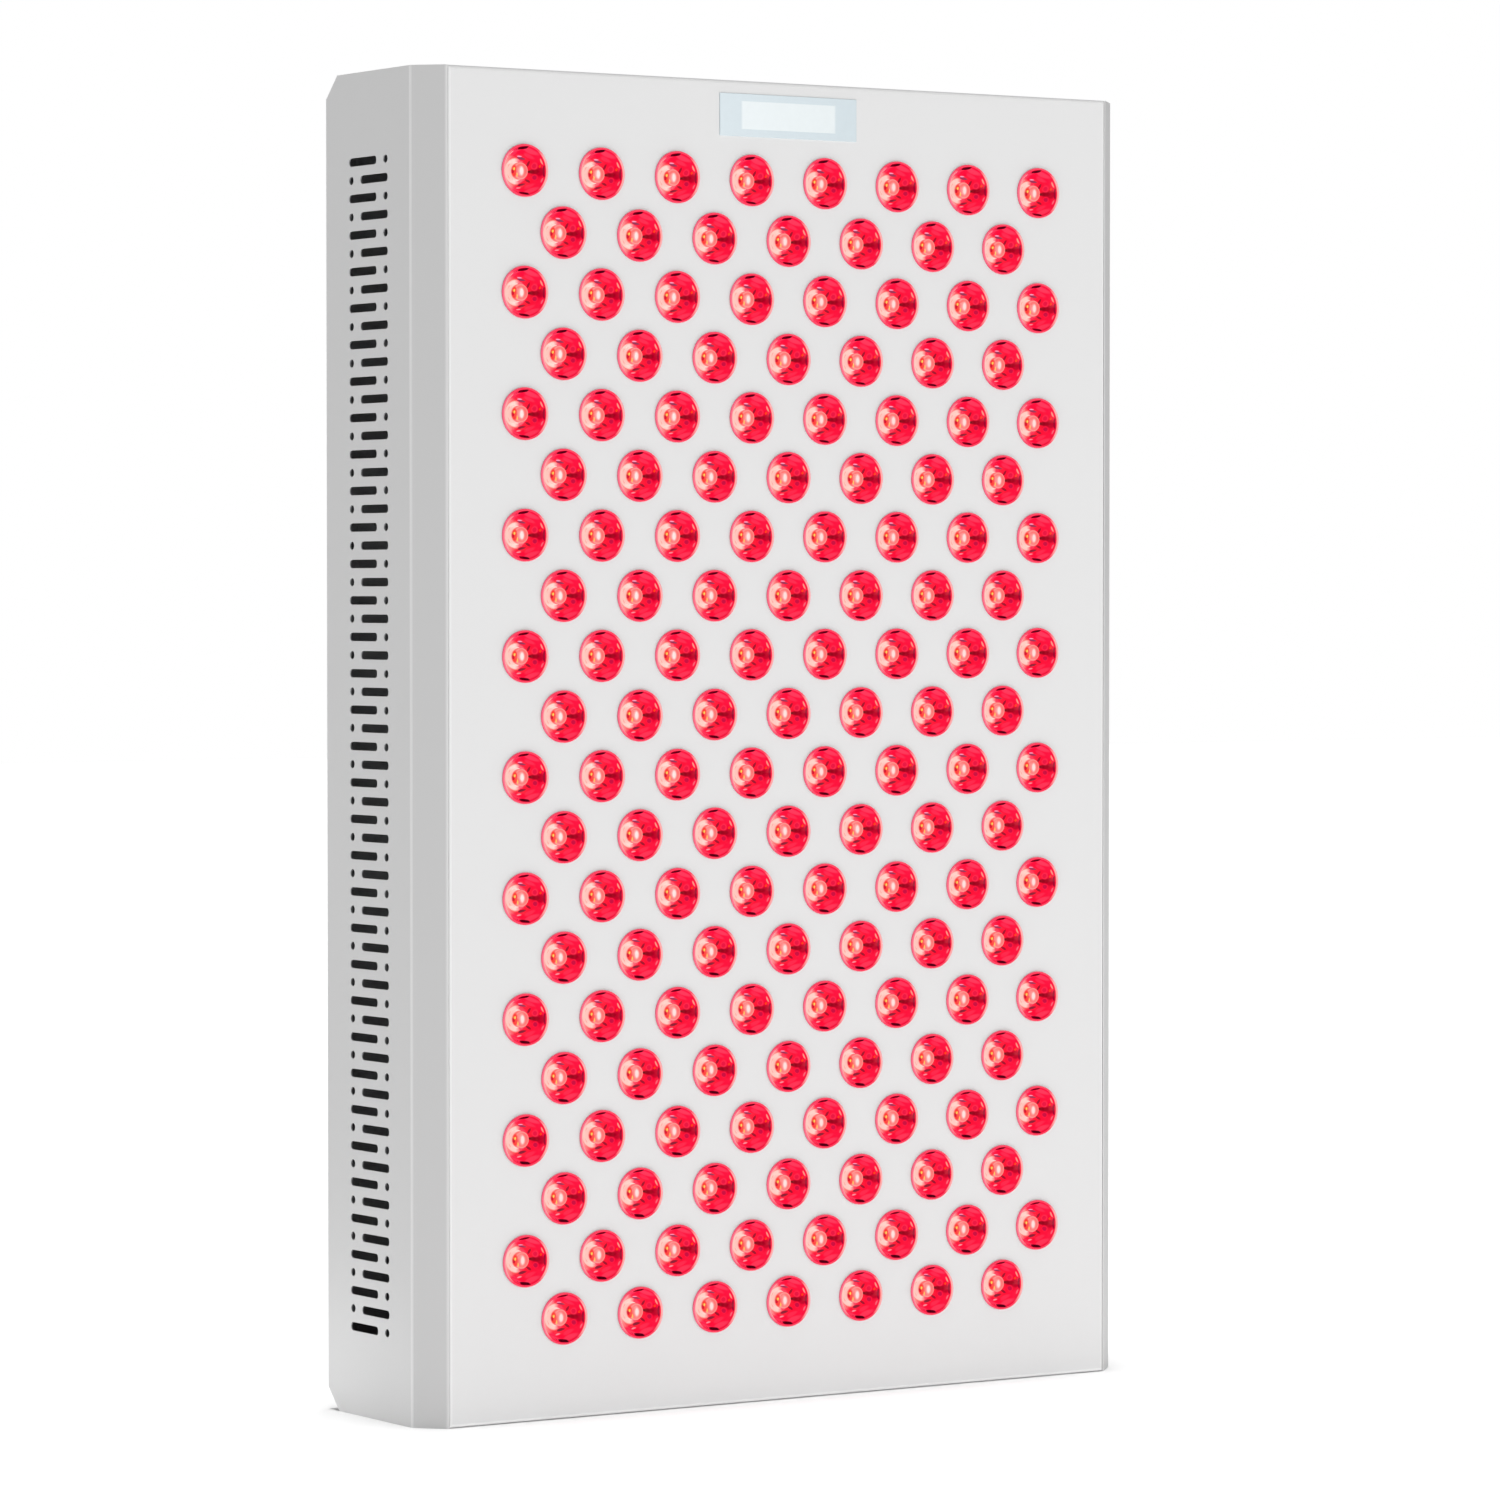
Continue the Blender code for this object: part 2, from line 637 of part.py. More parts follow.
def mount_rail(name, side, steel):
    """An angle that runs from end plate to end plate and holds the heat sinks by their edges."""
    inner = SINK_HALF - RAIL_OVERLAP
    outer = SINK_HALF + RAIL_REACH
    section = [
        (inner, RAIL_FRONT),
        (outer, RAIL_FRONT),
        (outer, RAIL_FRONT + RAIL_DEPTH),
        (outer - RAIL_SHEET, RAIL_FRONT + RAIL_DEPTH),
        (outer - RAIL_SHEET, RAIL_FRONT + RAIL_SHEET),
        (inner, RAIL_FRONT + RAIL_SHEET),
    ]
    section = [(side * x, y) for x, y in section]
    low = SHEET + GAP
    finish(prism(section, low, HEIGHT - low, "Z"), name, steel)


def display(clear, dark, green):
    """The window on the front plate, the screen module behind it and the board that carries both."""
    window = prism(
        rectangle(DISPLAY_WIDTH, DISPLAY_HEIGHT, (0, DISPLAY_Z)),
        FRONT - GAP - DISPLAY_STAND,
        FRONT - GAP,
        "Y",
    )
    plug = rectangle(SCREEN_WIDTH - 2 * GAP, SCREEN_HEIGHT - 2 * GAP, (0, DISPLAY_Z))
    combine(window, prism(plug, FRONT - GAP - DISPLAY_STAND / 2, PLATE_INNER, "Y"), "UNION")
    finish(window, "display_window", clear)
    outline = rectangle(SCREEN_WIDTH + 2 * MODULE_EDGE, SCREEN_HEIGHT + MODULE_EDGE, (0, DISPLAY_Z))
    finish(prism(outline, MODULE_FRONT, MODULE_BACK, "Y"), "display_module", dark)

    board = prism(
        rectangle(CONTROL_WIDTH, CONTROL_HEIGHT, (0, DISPLAY_Z)), CONTROL_FRONT, CONTROL_BACK, "Y"
    )
    spacers = bmesh.new()
    across = CONTROL_WIDTH / 2 - SPACER_INSET_X
    up = CONTROL_HEIGHT / 2 - SPACER_INSET_Z
    middle = CONTROL_FRONT + CONTROL_THICKNESS / 2
    for x in (-across, across):
        for z in (DISPLAY_Z - up, DISPLAY_Z + up):
            outline = circle(SPACER_DIAMETER / 2, SPACER_SIDES, (x, z))
            add_prism(spacers, outline, PLATE_INNER + GAP, middle, "Y")
    combine(board, body_from(spacers), "UNION")
    finish(board, "control_board", green)


def fans(black_plastic, wire):
    """Axial fans behind the back cover, with a guard over each opening. Each turns about the Y axis."""
    frame = prism(cut_corners(FAN_SIZE, FAN_SIZE, FAN_CORNER), -FAN_DEPTH, 0, "Y")
    bore = prism(circle(FAN_BORE / 2, FAN_SIDES), -FAN_DEPTH - OVERRUN, OVERRUN, "Y")
    combine(frame, bore, "DIFFERENCE")
    reach = FAN_BORE + OVERRUN
    for size in ((reach, STRUT_WIDTH), (STRUT_WIDTH, reach)):
        combine(frame, prism(rectangle(*size), -SPIDER_THICKNESS, 0, "Y"), "UNION")
    hub_radius = HUB_DIAMETER / 2
    shaft_end = HUB_FRONT_INSET + HUB_CAP + SHAFT_CLEARANCE - FAN_DEPTH
    motor = [
        (0, 0),
        (hub_radius, 0),
        (hub_radius, -SPIDER_THICKNESS),
        (SHAFT_DIAMETER / 2, -SPIDER_THICKNESS),
        (SHAFT_DIAMETER / 2, shaft_end),
        (0, shaft_end),
    ]
    combine(frame, turned(motor, HUB_SIDES), "UNION")
    finish(frame, "fan_frame", black_plastic)

    hub_front = HUB_FRONT_INSET - FAN_DEPTH
    hub_back = -SPIDER_THICKNESS - GAP
    rotor = prism(circle(hub_radius, HUB_SIDES), hub_front, hub_back, "Y")
    socket = round_clear_of(SHAFT_DIAMETER / 2 + SHAFT_CLEARANCE, SHAFT_SIDES)
    bore = prism(circle(socket, SHAFT_SIDES), hub_front + HUB_CAP, hub_back + OVERRUN, "Y")
    combine(rotor, bore, "DIFFERENCE")
    half_chord = BLADE_CHORD / 2
    tip_radius = FAN_BORE / 2 - BLADE_TIP_GAP
    across = half_chord * math.cos(BLADE_ANGLE) + BLADE_THICKNESS
    tip = math.sqrt(tip_radius**2 - across**2)
    blades = bmesh.new()
    for i in range(BLADE_COUNT):
        before = set(blades.verts)
        add_prism(
            blades,
            rectangle(BLADE_CHORD, BLADE_THICKNESS),
            hub_radius - BLADE_ROOT,
            tip,
            "X",
        )
        new = [vert for vert in blades.verts if vert not in before]
        turn = Matrix.Rotation(2 * math.pi * i / BLADE_COUNT, 4, "Y")
        lean = Matrix.Rotation(math.pi / 2 - BLADE_ANGLE, 4, "X")
        middle = Matrix.Translation((0, (hub_front + hub_back) / 2, 0))
        bmesh.ops.transform(blades, matrix=turn @ middle @ lean, verts=new)
    combine(rotor, body_from(blades), "UNION")
    finish(rotor, "fan_rotor", black_plastic)

    rings = bmesh.new()
    for diameter in (GUARD_OUTER_DIAMETER, GUARD_MIDDLE_DIAMETER):
        add_ring(rings, diameter / 2, diameter / 2 - GUARD_BAR, 0, GUARD_THICKNESS, GUARD_SIDES)
    add_prism(rings, circle(GUARD_CENTRE_DIAMETER / 2, GUARD_SIDES), 0, GUARD_THICKNESS, "Y")
    guard = body_from(rings)
    leg = math.sqrt(2) * FAN_SCREW_SPACING + GUARD_LEG
    for angle in (math.pi / 4, -math.pi / 4):
        bar = bmesh.new()
        add_prism(bar, rectangle(leg, GUARD_LEG), 0, GUARD_THICKNESS, "Y")
        bmesh.ops.rotate(bar, matrix=Matrix.Rotation(angle, 3, "Y"), verts=bar.verts)
        combine(guard, body_from(bar), "UNION")
    finish(guard, "fan_guard", wire)

    heights = fan_places()
    names = range(1, FAN_COUNT + 1)
    copies(frame, [f"fan_frame_{i}" for i in names], [(0, FLANGE_BACK, z) for z in heights])
    copies(rotor, [f"fan_rotor_{i}" for i in names], [(0, FLANGE_BACK, z) for z in heights])
    copies(guard, [f"fan_guard_{i}" for i in names], [(0, BACK + GAP, z) for z in heights])


def drivers(aluminium):
    """The two power supplies of the lamps, on feet against the back cover."""
    case = prism(rectangle(DRIVER_WIDTH, DRIVER_HEIGHT), -DRIVER_DEPTH, 0, "Y")
    foot = rectangle(DRIVER_WIDTH, DRIVER_HEIGHT + 2 * DRIVER_FOOT)
    combine(case, prism(foot, -DRIVER_FOOT_THICKNESS, 0, "Y"), "UNION")
    finish(case, "driver", aluminium)
    places = [(x, FLANGE_BACK, HEIGHT / 2) for x in (-DRIVER_X, DRIVER_X)]
    copies(case, ["left_driver", "right_driver"], places)


def mains_inlet(black_plastic, brass):
    """A three-pin inlet in a flanged body."""
    flange = cut_corners(INLET_FLANGE_WIDTH, INLET_FLANGE_HEIGHT, INLET_FLANGE_CORNER)
    inlet = prism(flange, GAP, GAP + INLET_FLANGE_THICKNESS, "Y")
    shell = rectangle(INLET_BODY_WIDTH, INLET_BODY_HEIGHT)
    combine(inlet, prism(shell, -INLET_BODY_DEPTH, GAP + INLET_FLANGE_THICKNESS / 2, "Y"), "UNION")
    half = SOCKET_WIDTH / 2
    top = SOCKET_HEIGHT / 2
    socket = [
        (-half, -top),
        (half, -top),
        (half, top - SOCKET_CORNER),
        (half - SOCKET_CORNER, top),
        (SOCKET_CORNER - half, top),
        (-half, top - SOCKET_CORNER),
    ]
    floor = SOCKET_FLOOR - INLET_BODY_DEPTH
    mouth = GAP + INLET_FLANGE_THICKNESS + OVERRUN
    combine(inlet, prism(socket, floor, mouth, "Y"), "DIFFERENCE")
    place = (INLET_X, BACK, FITTING_Z)
    finish(inlet, "inlet_body", black_plastic, place)
    pins = (
        ("live", -PIN_SPACING / 2, -PIN_OFFSET),
        ("neutral", PIN_SPACING / 2, -PIN_OFFSET),
        ("earth", 0, PIN_OFFSET),
    )
    for name, x, z in pins:
        outline = rectangle(PIN_WIDTH, PIN_HEIGHT, (x, z))
        finish(prism(outline, floor + GAP, -PIN_INSET, "Y"), f"inlet_pin_{name}", brass, place)


def mains_switch(black_plastic, polished_black):
    """A rocker switch. The rocker's two pins turn in the side walls of its body."""
    bezel = rectangle(SWITCH_BEZEL_WIDTH, SWITCH_BEZEL_HEIGHT)
    switch = prism(bezel, GAP, GAP + SWITCH_BEZEL_THICKNESS, "Y")
    shell = rectangle(SWITCH_BODY_WIDTH, SWITCH_BODY_HEIGHT)
    combine(switch, prism(shell, -SWITCH_BODY_DEPTH, GAP + SWITCH_BEZEL_THICKNESS / 2, "Y"), "UNION")
    well_width = SWITCH_BODY_WIDTH - 2 * SWITCH_SIDE_WALL
    well_height = SWITCH_BODY_HEIGHT - 2 * SWITCH_WALL
    mouth = GAP + SWITCH_BEZEL_THICKNESS + OVERRUN
    well = prism(rectangle(well_width, well_height), SWITCH_FLOOR - SWITCH_BODY_DEPTH, mouth, "Y")
    combine(switch, well, "DIFFERENCE")
    hole = round_clear_of(PIVOT_DIAMETER / 2 + PIVOT_CLEARANCE, PIVOT_SIDES)
    pivot = (-ROCKER_PIVOT_DEPTH, 0)
    reach = SWITCH_BODY_WIDTH / 2 + OVERRUN
    combine(switch, prism(circle(hole, PIVOT_SIDES, pivot), -reach, reach, "X"), "DIFFERENCE")
    finish(switch, "switch_body", black_plastic, (SWITCH_X, BACK, FITTING_Z))

    half = well_height / 2 - ROCKER_END_CLEARANCE
    profile = [
        (ROCKER_STAND, ROCKER_TOP_INSET - half),
        (0, -half),
        (-ROCKER_KEEL, -ROCKER_KEEL_HALF),
        (-ROCKER_KEEL, ROCKER_KEEL_HALF),
        (0, half),
        (ROCKER_STAND, half - ROCKER_TOP_INSET),
        (ROCKER_STAND - ROCKER_DIP, 0),
    ]
    side = well_width / 2 - GAP
    rocker = prism(profile, -side, side, "X")
    pins = circle(PIVOT_DIAMETER / 2, PIVOT_SIDES)
    combine(rocker, prism(pins, -side - PIVOT_LENGTH, side + PIVOT_LENGTH, "X"), "UNION")
    finish(rocker, "switch_rocker", polished_black, (SWITCH_X, BACK - ROCKER_PIVOT_DEPTH, FITTING_Z))
    rocker.rotation_euler = (ROCKER_TILT, 0, 0)


def cover_screws(steel):
    profile = [
        (0, GAP + SCREW_HEAD_HEIGHT),
        (SCREW_HEAD_DIAMETER / 2, GAP + SCREW_HEAD_HEIGHT),
        (SCREW_HEAD_DIAMETER / 2, GAP),
        (SCREW_DIAMETER / 2, GAP),
        (SCREW_DIAMETER / 2, -SCREW_LENGTH),
        (0, -SCREW_LENGTH),
    ]
    screw = turned(profile, SCREW_SIDES)
    finish(screw, "cover_screw", steel)
    places = [(x, BACK, z) for x, z in cover_screw_places()]
    copies(screw, [f"cover_screw_{i + 1}" for i in range(len(places))], places)


def along_curve(route, step):
    """Points about a step apart on a smooth curve through the route's points."""
    points = [Vector(point) for point in route]
    around = zip(points[:1] + points[:-1], points[1:] + points[-1:])
    headings = [(after - before).normalized() for before, after in around]
    found = [points[0]]
    for k, (start, end) in enumerate(zip(points, points[1:])):
        reach = (end - start).length
        pieces = max(1, round(reach / step))
        for i in range(1, pieces + 1):
            t = i / pieces
            spot = start.lerp(end, 3 * t**2 - 2 * t**3)
            spot += (t**3 - 2 * t**2 + t) * reach * headings[k]
            spot += (t**3 - t**2) * reach * headings[k + 1]
            found.append(spot)
    return found


def lead(name, route, diameter, sleeve):
    """A round lead along a smooth curve."""
    curve = bpy.data.curves.new(name, "CURVE")
    curve.dimensions = "3D"
    curve.bevel_depth = diameter / 2
    curve.bevel_resolution = 2
    curve.use_fill_caps = True
    line = curve.splines.new("POLY")
    points = along_curve(route, LEAD_STEP_SHARE * diameter)
    line.points.add(len(points) - 1)
    for spot, point in zip(line.points, points):
        spot.co = (*point, 1)
    curve.materials.append(sleeve)
    made = bpy.data.objects.new(name, curve)
    bpy.context.scene.collection.objects.link(made)


def leads(grey_sleeve, signal_sleeve):
    """Leads from the inlet to the switch, from there to both drivers, and on to the control board."""
    behind_inlet = BACK - INLET_BODY_DEPTH - LEAD_SEAT
    behind_switch = BACK - SWITCH_BODY_DEPTH - LEAD_SEAT
    loop_y = behind_inlet - 2 * LEAD_STRAIGHT
    third = SWITCH_BODY_WIDTH / 3
    run = (SWITCH_X - third - INLET_X) / 2
    lead(
        "inlet_lead",
        [
            (INLET_X, behind_inlet, FITTING_Z),
            (INLET_X, behind_inlet - LEAD_STRAIGHT, FITTING_Z),
            (INLET_X + run, loop_y, FITTING_Z),
            (SWITCH_X - third, behind_switch - LEAD_STRAIGHT, FITTING_Z),
            (SWITCH_X - third, behind_switch, FITTING_Z),
        ],
        LEAD_DIAMETER,
        grey_sleeve,
    )
    driver_low = HEIGHT / 2 - DRIVER_HEIGHT / 2 - LEAD_SEAT
    driver_y = FLANGE_BACK - DRIVER_DEPTH / 2
    rise = driver_low - FITTING_Z
    up = FITTING_Z + SWITCH_BODY_HEIGHT / 2 - LEAD_DIAMETER
    lead(
        "left_driver_lead",
        [
            (SWITCH_X, behind_switch, up),
            (SWITCH_X, behind_switch - LEAD_STRAIGHT, up),
            ((SWITCH_X - DRIVER_X) / 2, loop_y, FITTING_Z + rise / 3),
            (-DRIVER_X, (loop_y + driver_y) / 2, FITTING_Z + 2 * rise / 3),
            (-DRIVER_X, driver_y, driver_low - LEAD_STRAIGHT),
            (-DRIVER_X, driver_y, driver_low),
        ],
        LEAD_DIAMETER,
        grey_sleeve,
    )
    low = FITTING_Z - SWITCH_BODY_HEIGHT / 2 + LEAD_DIAMETER
    lead(
        "right_driver_lead",
        [
            (SWITCH_X + third, behind_switch, low),
            (SWITCH_X + third, behind_switch - LEAD_STRAIGHT, low),
            (SWITCH_X / 2, loop_y, FITTING_Z),
            (0, loop_y, FITTING_Z),
            (-SWITCH_X, loop_y, FITTING_Z),
            (DRIVER_X, (loop_y + driver_y) / 2, FITTING_Z + rise / 2),
            (DRIVER_X, driver_y, driver_low - LEAD_STRAIGHT),
            (DRIVER_X, driver_y, driver_low),
        ],
        LEAD_DIAMETER,
        grey_sleeve,
    )
    driver_high = HEIGHT / 2 + DRIVER_HEIGHT / 2 + LEAD_SEAT
    board_x = -SCREEN_WIDTH / 2 - 2 * MODULE_EDGE
    climb = DISPLAY_Z - driver_high
    behind_fins = FIN_BACK + LEAD_STRAIGHT
    lead(
        "display_lead",
        [
            (-DRIVER_X, driver_y, driver_high),
            (-DRIVER_X, driver_y, driver_high + LEAD_STRAIGHT),
            (-DRIVER_X, behind_fins, driver_high + climb / 2),
            ((board_x - DRIVER_X) / 2, behind_fins, DISPLAY_Z),
            (board_x, CONTROL_BACK + LEAD_SEAT + LEAD_STRAIGHT, DISPLAY_Z),
            (board_x, CONTROL_BACK + LEAD_SEAT, DISPLAY_Z),
        ],
        SIGNAL_LEAD_DIAMETER,
        signal_sleeve,
    )


def build_panel():
    clear_scene()
    white_paint = material("white_powder_coat", "E6E6E6", 0.55)
    red_lens = material("red_lens", "FF2B4E", 0.12)
    board_white = material("board_white", "F2F2EE", 0.5)
    aluminium = material("extruded_aluminium", "C6C8CA", 0.4, 1.0)
    steel = material("zinc_plated_steel", "B4B8BC", 0.35, 1.0)
    glass = material("display_glass", "DCE7EB", 0.1)
    screen = material("screen_module", "EDF3F5", 0.3)
    board_green = material("board_green", "1F5B3A", 0.45)
    black_plastic = material("black_plastic", "1E1E20", 0.45)
    wire = material("chromed_wire", "D8DADC", 0.2, 1.0)
    brass = material("nickel_plated_brass", "CFCBBE", 0.3, 1.0)
    rocker_black = material("rocker_plastic", "2A2A2C", 0.35)
    grey_sleeve = material("grey_sleeve", "3A3B3D", 0.55)
    signal_sleeve = material("signal_sleeve", "D9D9D6", 0.55)

    front_plate(white_paint)
    side_panel("left_side_panel", -1, white_paint)
    side_panel("right_side_panel", 1, white_paint)
    end_plate("top_end_plate", False, white_paint)
    end_plate("bottom_end_plate", True, white_paint)
    back_cover(white_paint)
    lens_strips(red_lens)
    lamp_boards(board_white)
    heat_sinks(aluminium)
    mount_rail("left_mount_rail", -1, steel)
    mount_rail("right_mount_rail", 1, steel)
    display(glass, screen, board_green)
    fans(black_plastic, wire)
    drivers(aluminium)
    mains_inlet(black_plastic, brass)
    mains_switch(black_plastic, rocker_black)
    cover_screws(steel)
    leads(grey_sleeve, signal_sleeve)


build_panel()
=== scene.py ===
# %% [markdown]
# # A red light therapy panel, dressed for the camera
#
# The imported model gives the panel's pieces at their real sizes, as plain solids. This script
# gives them the shapes and finishes that the eye sees: folded and powder-coated sheet steel,
# clear red lamp lenses, wire guards and moulded fans.
#
# Everything is in metres. +Z is up, the lamps face -Y, and the panel stands on z = 0.

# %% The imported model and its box
import math

import bmesh
import bpy
import numpy as np
from mathutils import Euler, Matrix, Vector


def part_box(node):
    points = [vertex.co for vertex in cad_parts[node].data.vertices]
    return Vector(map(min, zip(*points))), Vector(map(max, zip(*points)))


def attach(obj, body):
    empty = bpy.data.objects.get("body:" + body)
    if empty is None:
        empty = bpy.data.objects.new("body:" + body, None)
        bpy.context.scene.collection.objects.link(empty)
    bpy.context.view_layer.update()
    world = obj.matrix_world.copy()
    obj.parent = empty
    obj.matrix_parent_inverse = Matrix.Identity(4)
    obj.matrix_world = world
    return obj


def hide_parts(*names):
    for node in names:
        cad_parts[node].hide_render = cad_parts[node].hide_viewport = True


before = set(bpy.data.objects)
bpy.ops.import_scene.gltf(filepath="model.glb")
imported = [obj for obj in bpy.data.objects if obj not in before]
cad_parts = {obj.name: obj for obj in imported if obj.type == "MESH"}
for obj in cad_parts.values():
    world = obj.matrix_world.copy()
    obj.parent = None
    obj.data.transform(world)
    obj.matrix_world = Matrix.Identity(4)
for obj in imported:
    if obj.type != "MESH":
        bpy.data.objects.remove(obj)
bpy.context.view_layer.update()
MM = 0.001

# %% [markdown]
# ## Sizes
#
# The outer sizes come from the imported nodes, so that each new piece fits the one it stands for.
# Only what a plain solid can't tell, such as an edge radius, is a number of its own here.


# %% Boxes seen from the front or back
def middle_xz(low, high):
    return ((low.x + high.x) / 2, (low.z + high.z) / 2)


def size_xz(low, high):
    return (high.x - low.x, high.z - low.z)


# %% Sizes of the housing
plate_low, plate_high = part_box("front_plate")
cover_low, cover_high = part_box("back_cover")

SHEET = 1.5 * MM
VENTED_SHEET = 0.7 * MM
CLEARANCE = 0.3 * MM
TOLERANCE = 0.001 * MM
CHAMFER = 12 * MM
REAR_CUT = 10 * MM
SEAM = 0.12 * MM
FRONT = plate_low.y
BACK = cover_high.y
HEIGHT = plate_high.z
HALF_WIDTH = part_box("right_side_panel")[1].x
FRONT_HALF = HALF_WIDTH - CHAMFER
INSERT_HALF = HALF_WIDTH - VENTED_SHEET - CLEARANCE
LIP_END = plate_high.y
print("housing in mm:", [round(size / MM, 1) for size in (2 * HALF_WIDTH, BACK - FRONT, HEIGHT)])

# %% Sizes of the lamp field
LENS_DIAMETER = 23 * MM
LAMP_PITCH_X = 39.3 * MM
LAMP_PITCH_Z = 26.4 * MM
LAMPS_IN_ROW = (8, 7)
STRIPS = sorted(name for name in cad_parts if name.startswith("lens_strip"))
strip_boxes = [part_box(name) for name in STRIPS]
strip_heights = [middle_xz(*box)[1] for box in strip_boxes]


def lamp_places(strip_z):
    """The (x, z) of the fifteen lamps of one strip: a row of eight over a row of seven."""
    for row, count in enumerate(LAMPS_IN_ROW):
        z = strip_z + (0.5 - row) * LAMP_PITCH_Z
        for i in range(count):
            yield (i - (count - 1) / 2) * LAMP_PITCH_X, z


print("lamps:", sum(len(list(lamp_places(z))) for z in strip_heights))

# %% [markdown]
# ## How the materials are made
#
# Every finish is a Principled shader with a few pattern nodes in front of it. Colours are
# written as the sRGB hex value that a screen shows, and one function turns them linear, which
# is what a shader needs. One small function adds a node, sets it and links it.
#
# Where two sockets have the same name, they are called by number. A Mix node's socket 0 is the
# share, 2 and 3 are the two numbers that it mixes, and 6 and 7 are the two colours.


# %% Helpers for materials
def linear(hex_colour):
    """An sRGB hex colour as the linear red, green, blue and alpha that shaders use."""
    shares = [int(hex_colour[i : i + 2], 16) / 255 for i in (0, 2, 4)]
    return [c / 12.92 if c <= 0.04045 else ((c + 0.055) / 1.055) ** 2.4 for c in shares] + [1]


def fill(node, inputs):
    """Fills a node's inputs with values, or links other nodes' outputs to them."""
    for socket, value in inputs.items():
        if isinstance(value, bpy.types.NodeSocket):
            node.id_data.links.new(value, node.inputs[socket])
        else:
            node.inputs[socket].default_value = value


def add(tree, kind, inputs=None, **settings):
    """Adds a shader node, sets it and fills its inputs."""
    node = tree.nodes.new("ShaderNode" + kind)
    for name, value in settings.items():
        setattr(node, name, value)
    fill(node, inputs or {})
    return node


def new_material(name):
    """An empty material, its node tree and its shader."""
    material = bpy.data.materials.new(name)
    material.use_nodes = True
    shader = material.node_tree.nodes["Principled BSDF"]
    return material, material.node_tree, shader


# %% [markdown]
# ## Powder-coated steel
#
# The housing is mild steel sheet with a satin white powder coat. The powder melts into a skin
# with a fine orange-peel texture, with bumps about a millimetre apart, and the gloss differs a
# little from place to place. A noise pattern at that real spacing drives the bump, a finer one
# the roughness, and a broad one changes the white by about one part in a hundred.
#
# Powder flows away from a sharp fold as it melts, so folds and rolled edges come out smoother
# and glossier. Each mesh stores how far it is on a fold in a value of its own, whose name the
# mark constant holds, and the coat is a little glossier there. It is also painted a little
# whiter there, as a painted highlight that draws folds and rolled edges as thin bright lines.

# %% White powder coat
PEEL_SPACING = 0.9 * MM
PEEL_HEIGHT = 0.05 * MM
PEEL_STRENGTH = 0.12
GRIT_SPACING = 0.35 * MM
CLOUD_SPACING = 60 * MM
WHITE_SHARES = (0.985, 1.01)
COAT_ROUGHNESS = 0.5
GRIT_ROUGHNESS = 0.05
FOLD_SMOOTHER = 0.2
COAT_IOR = 1.5
HIGHLIGHT_AND_GLOSS_MARK = "fold_highlight_and_gloss"


def powder_coat(name, colour, fold_highlight_colour):
    material, tree, shader = new_material(name)
    place = add(tree, "TexCoord").outputs["Object"]
    peel = add(tree, "TexNoise", {"Vector": place, "Scale": 1 / PEEL_SPACING, "Detail": 2.0})
    grit = add(tree, "TexNoise", {"Vector": place, "Scale": 1 / GRIT_SPACING, "Detail": 1.0})
    cloud = add(tree, "TexNoise", {"Vector": place, "Scale": 1 / CLOUD_SPACING, "Detail": 2.0})
    dull, bright = ([c * share for c in linear(colour)[:3]] + [1] for share in WHITE_SHARES)
    parts = {0: 0.5, 2: cloud.outputs["Fac"], 3: grit.outputs["Fac"]}
    fleck = add(tree, "Mix", parts, data_type="FLOAT").outputs[0]
    white = add(tree, "Mix", {0: fleck, 6: dull, 7: bright}, data_type="RGBA").outputs[2]
    low, high = COAT_ROUGHNESS - GRIT_ROUGHNESS, COAT_ROUGHNESS + GRIT_ROUGHNESS
    gloss = add(tree, "MapRange", {"Value": grit.outputs["Fac"], "To Min": low, "To Max": high})
    relief = {"Height": peel.outputs["Fac"], "Strength": PEEL_STRENGTH, "Distance": PEEL_HEIGHT}
    bump = add(tree, "Bump", relief)
    highlight_and_gloss = add(tree, "Attribute", attribute_name=HIGHLIGHT_AND_GLOSS_MARK).outputs["Fac"]
    # Painted highlight: the coat is painted whiter where a point lies on a fold.
    coat = add(tree, "Mix", {0: highlight_and_gloss, 6: white, 7: linear(fold_highlight_colour)}, data_type="RGBA")
    parts = {0: highlight_and_gloss, 2: gloss.outputs["Result"], 3: COAT_ROUGHNESS - FOLD_SMOOTHER}
    smooth = add(tree, "Mix", parts, data_type="FLOAT")
    finish = {"Base Color": coat.outputs[2], "Roughness": smooth.outputs[0], "IOR": COAT_IOR}
    fill(shader, {**finish, "Normal": bump.outputs["Normal"]})
    return material


# The second colour is the painted highlight along folds and rolled edges.
WHITE_COAT = powder_coat("satin_white_powder_coat", "E6E6E6", "FAFAFA")
print("powder coat:", len(WHITE_COAT.node_tree.nodes), "nodes")

# %% [markdown]
# ## Folded sheet metal
#
# The real panels are cut flat by a laser, holes and all, and then folded on a press brake.
# The same order works well in Blender. A flat 2-D curve with its holes fills itself, takes a
# thickness, and rounds its cut edges with its bevel. Its mesh is then cut across where each
# bend will be and its points are moved round the bends. The holes stay exact, and every bend
# keeps its true radius.


# %% Outlines for flat patterns
SQUARE = [(sx, sz) for sx in (-1, 1) for sz in (-1, 1)]


def circle(radius, centre=(0, 0), points=40):
    """Points round a circle."""
    s, t = centre
    turns = [2 * math.pi * i / points for i in range(points)]
    return [(s + radius * math.cos(a), t + radius * math.sin(a)) for a in turns]


def rounded(width, height, radius, centre=(0, 0), points=5):
    """A rectangle with round corners."""
    s, t = centre
    outline = []
    for quarter, (right, up) in enumerate([(1, 1), (-1, 1), (-1, -1), (1, -1)]):
        middle = (s + right * (width / 2 - radius), t + up * (height / 2 - radius))
        for i in range(points):
            a = math.pi / 2 * (quarter + i / (points - 1))
            outline.append((middle[0] + radius * math.cos(a), middle[1] + radius * math.sin(a)))
    return outline


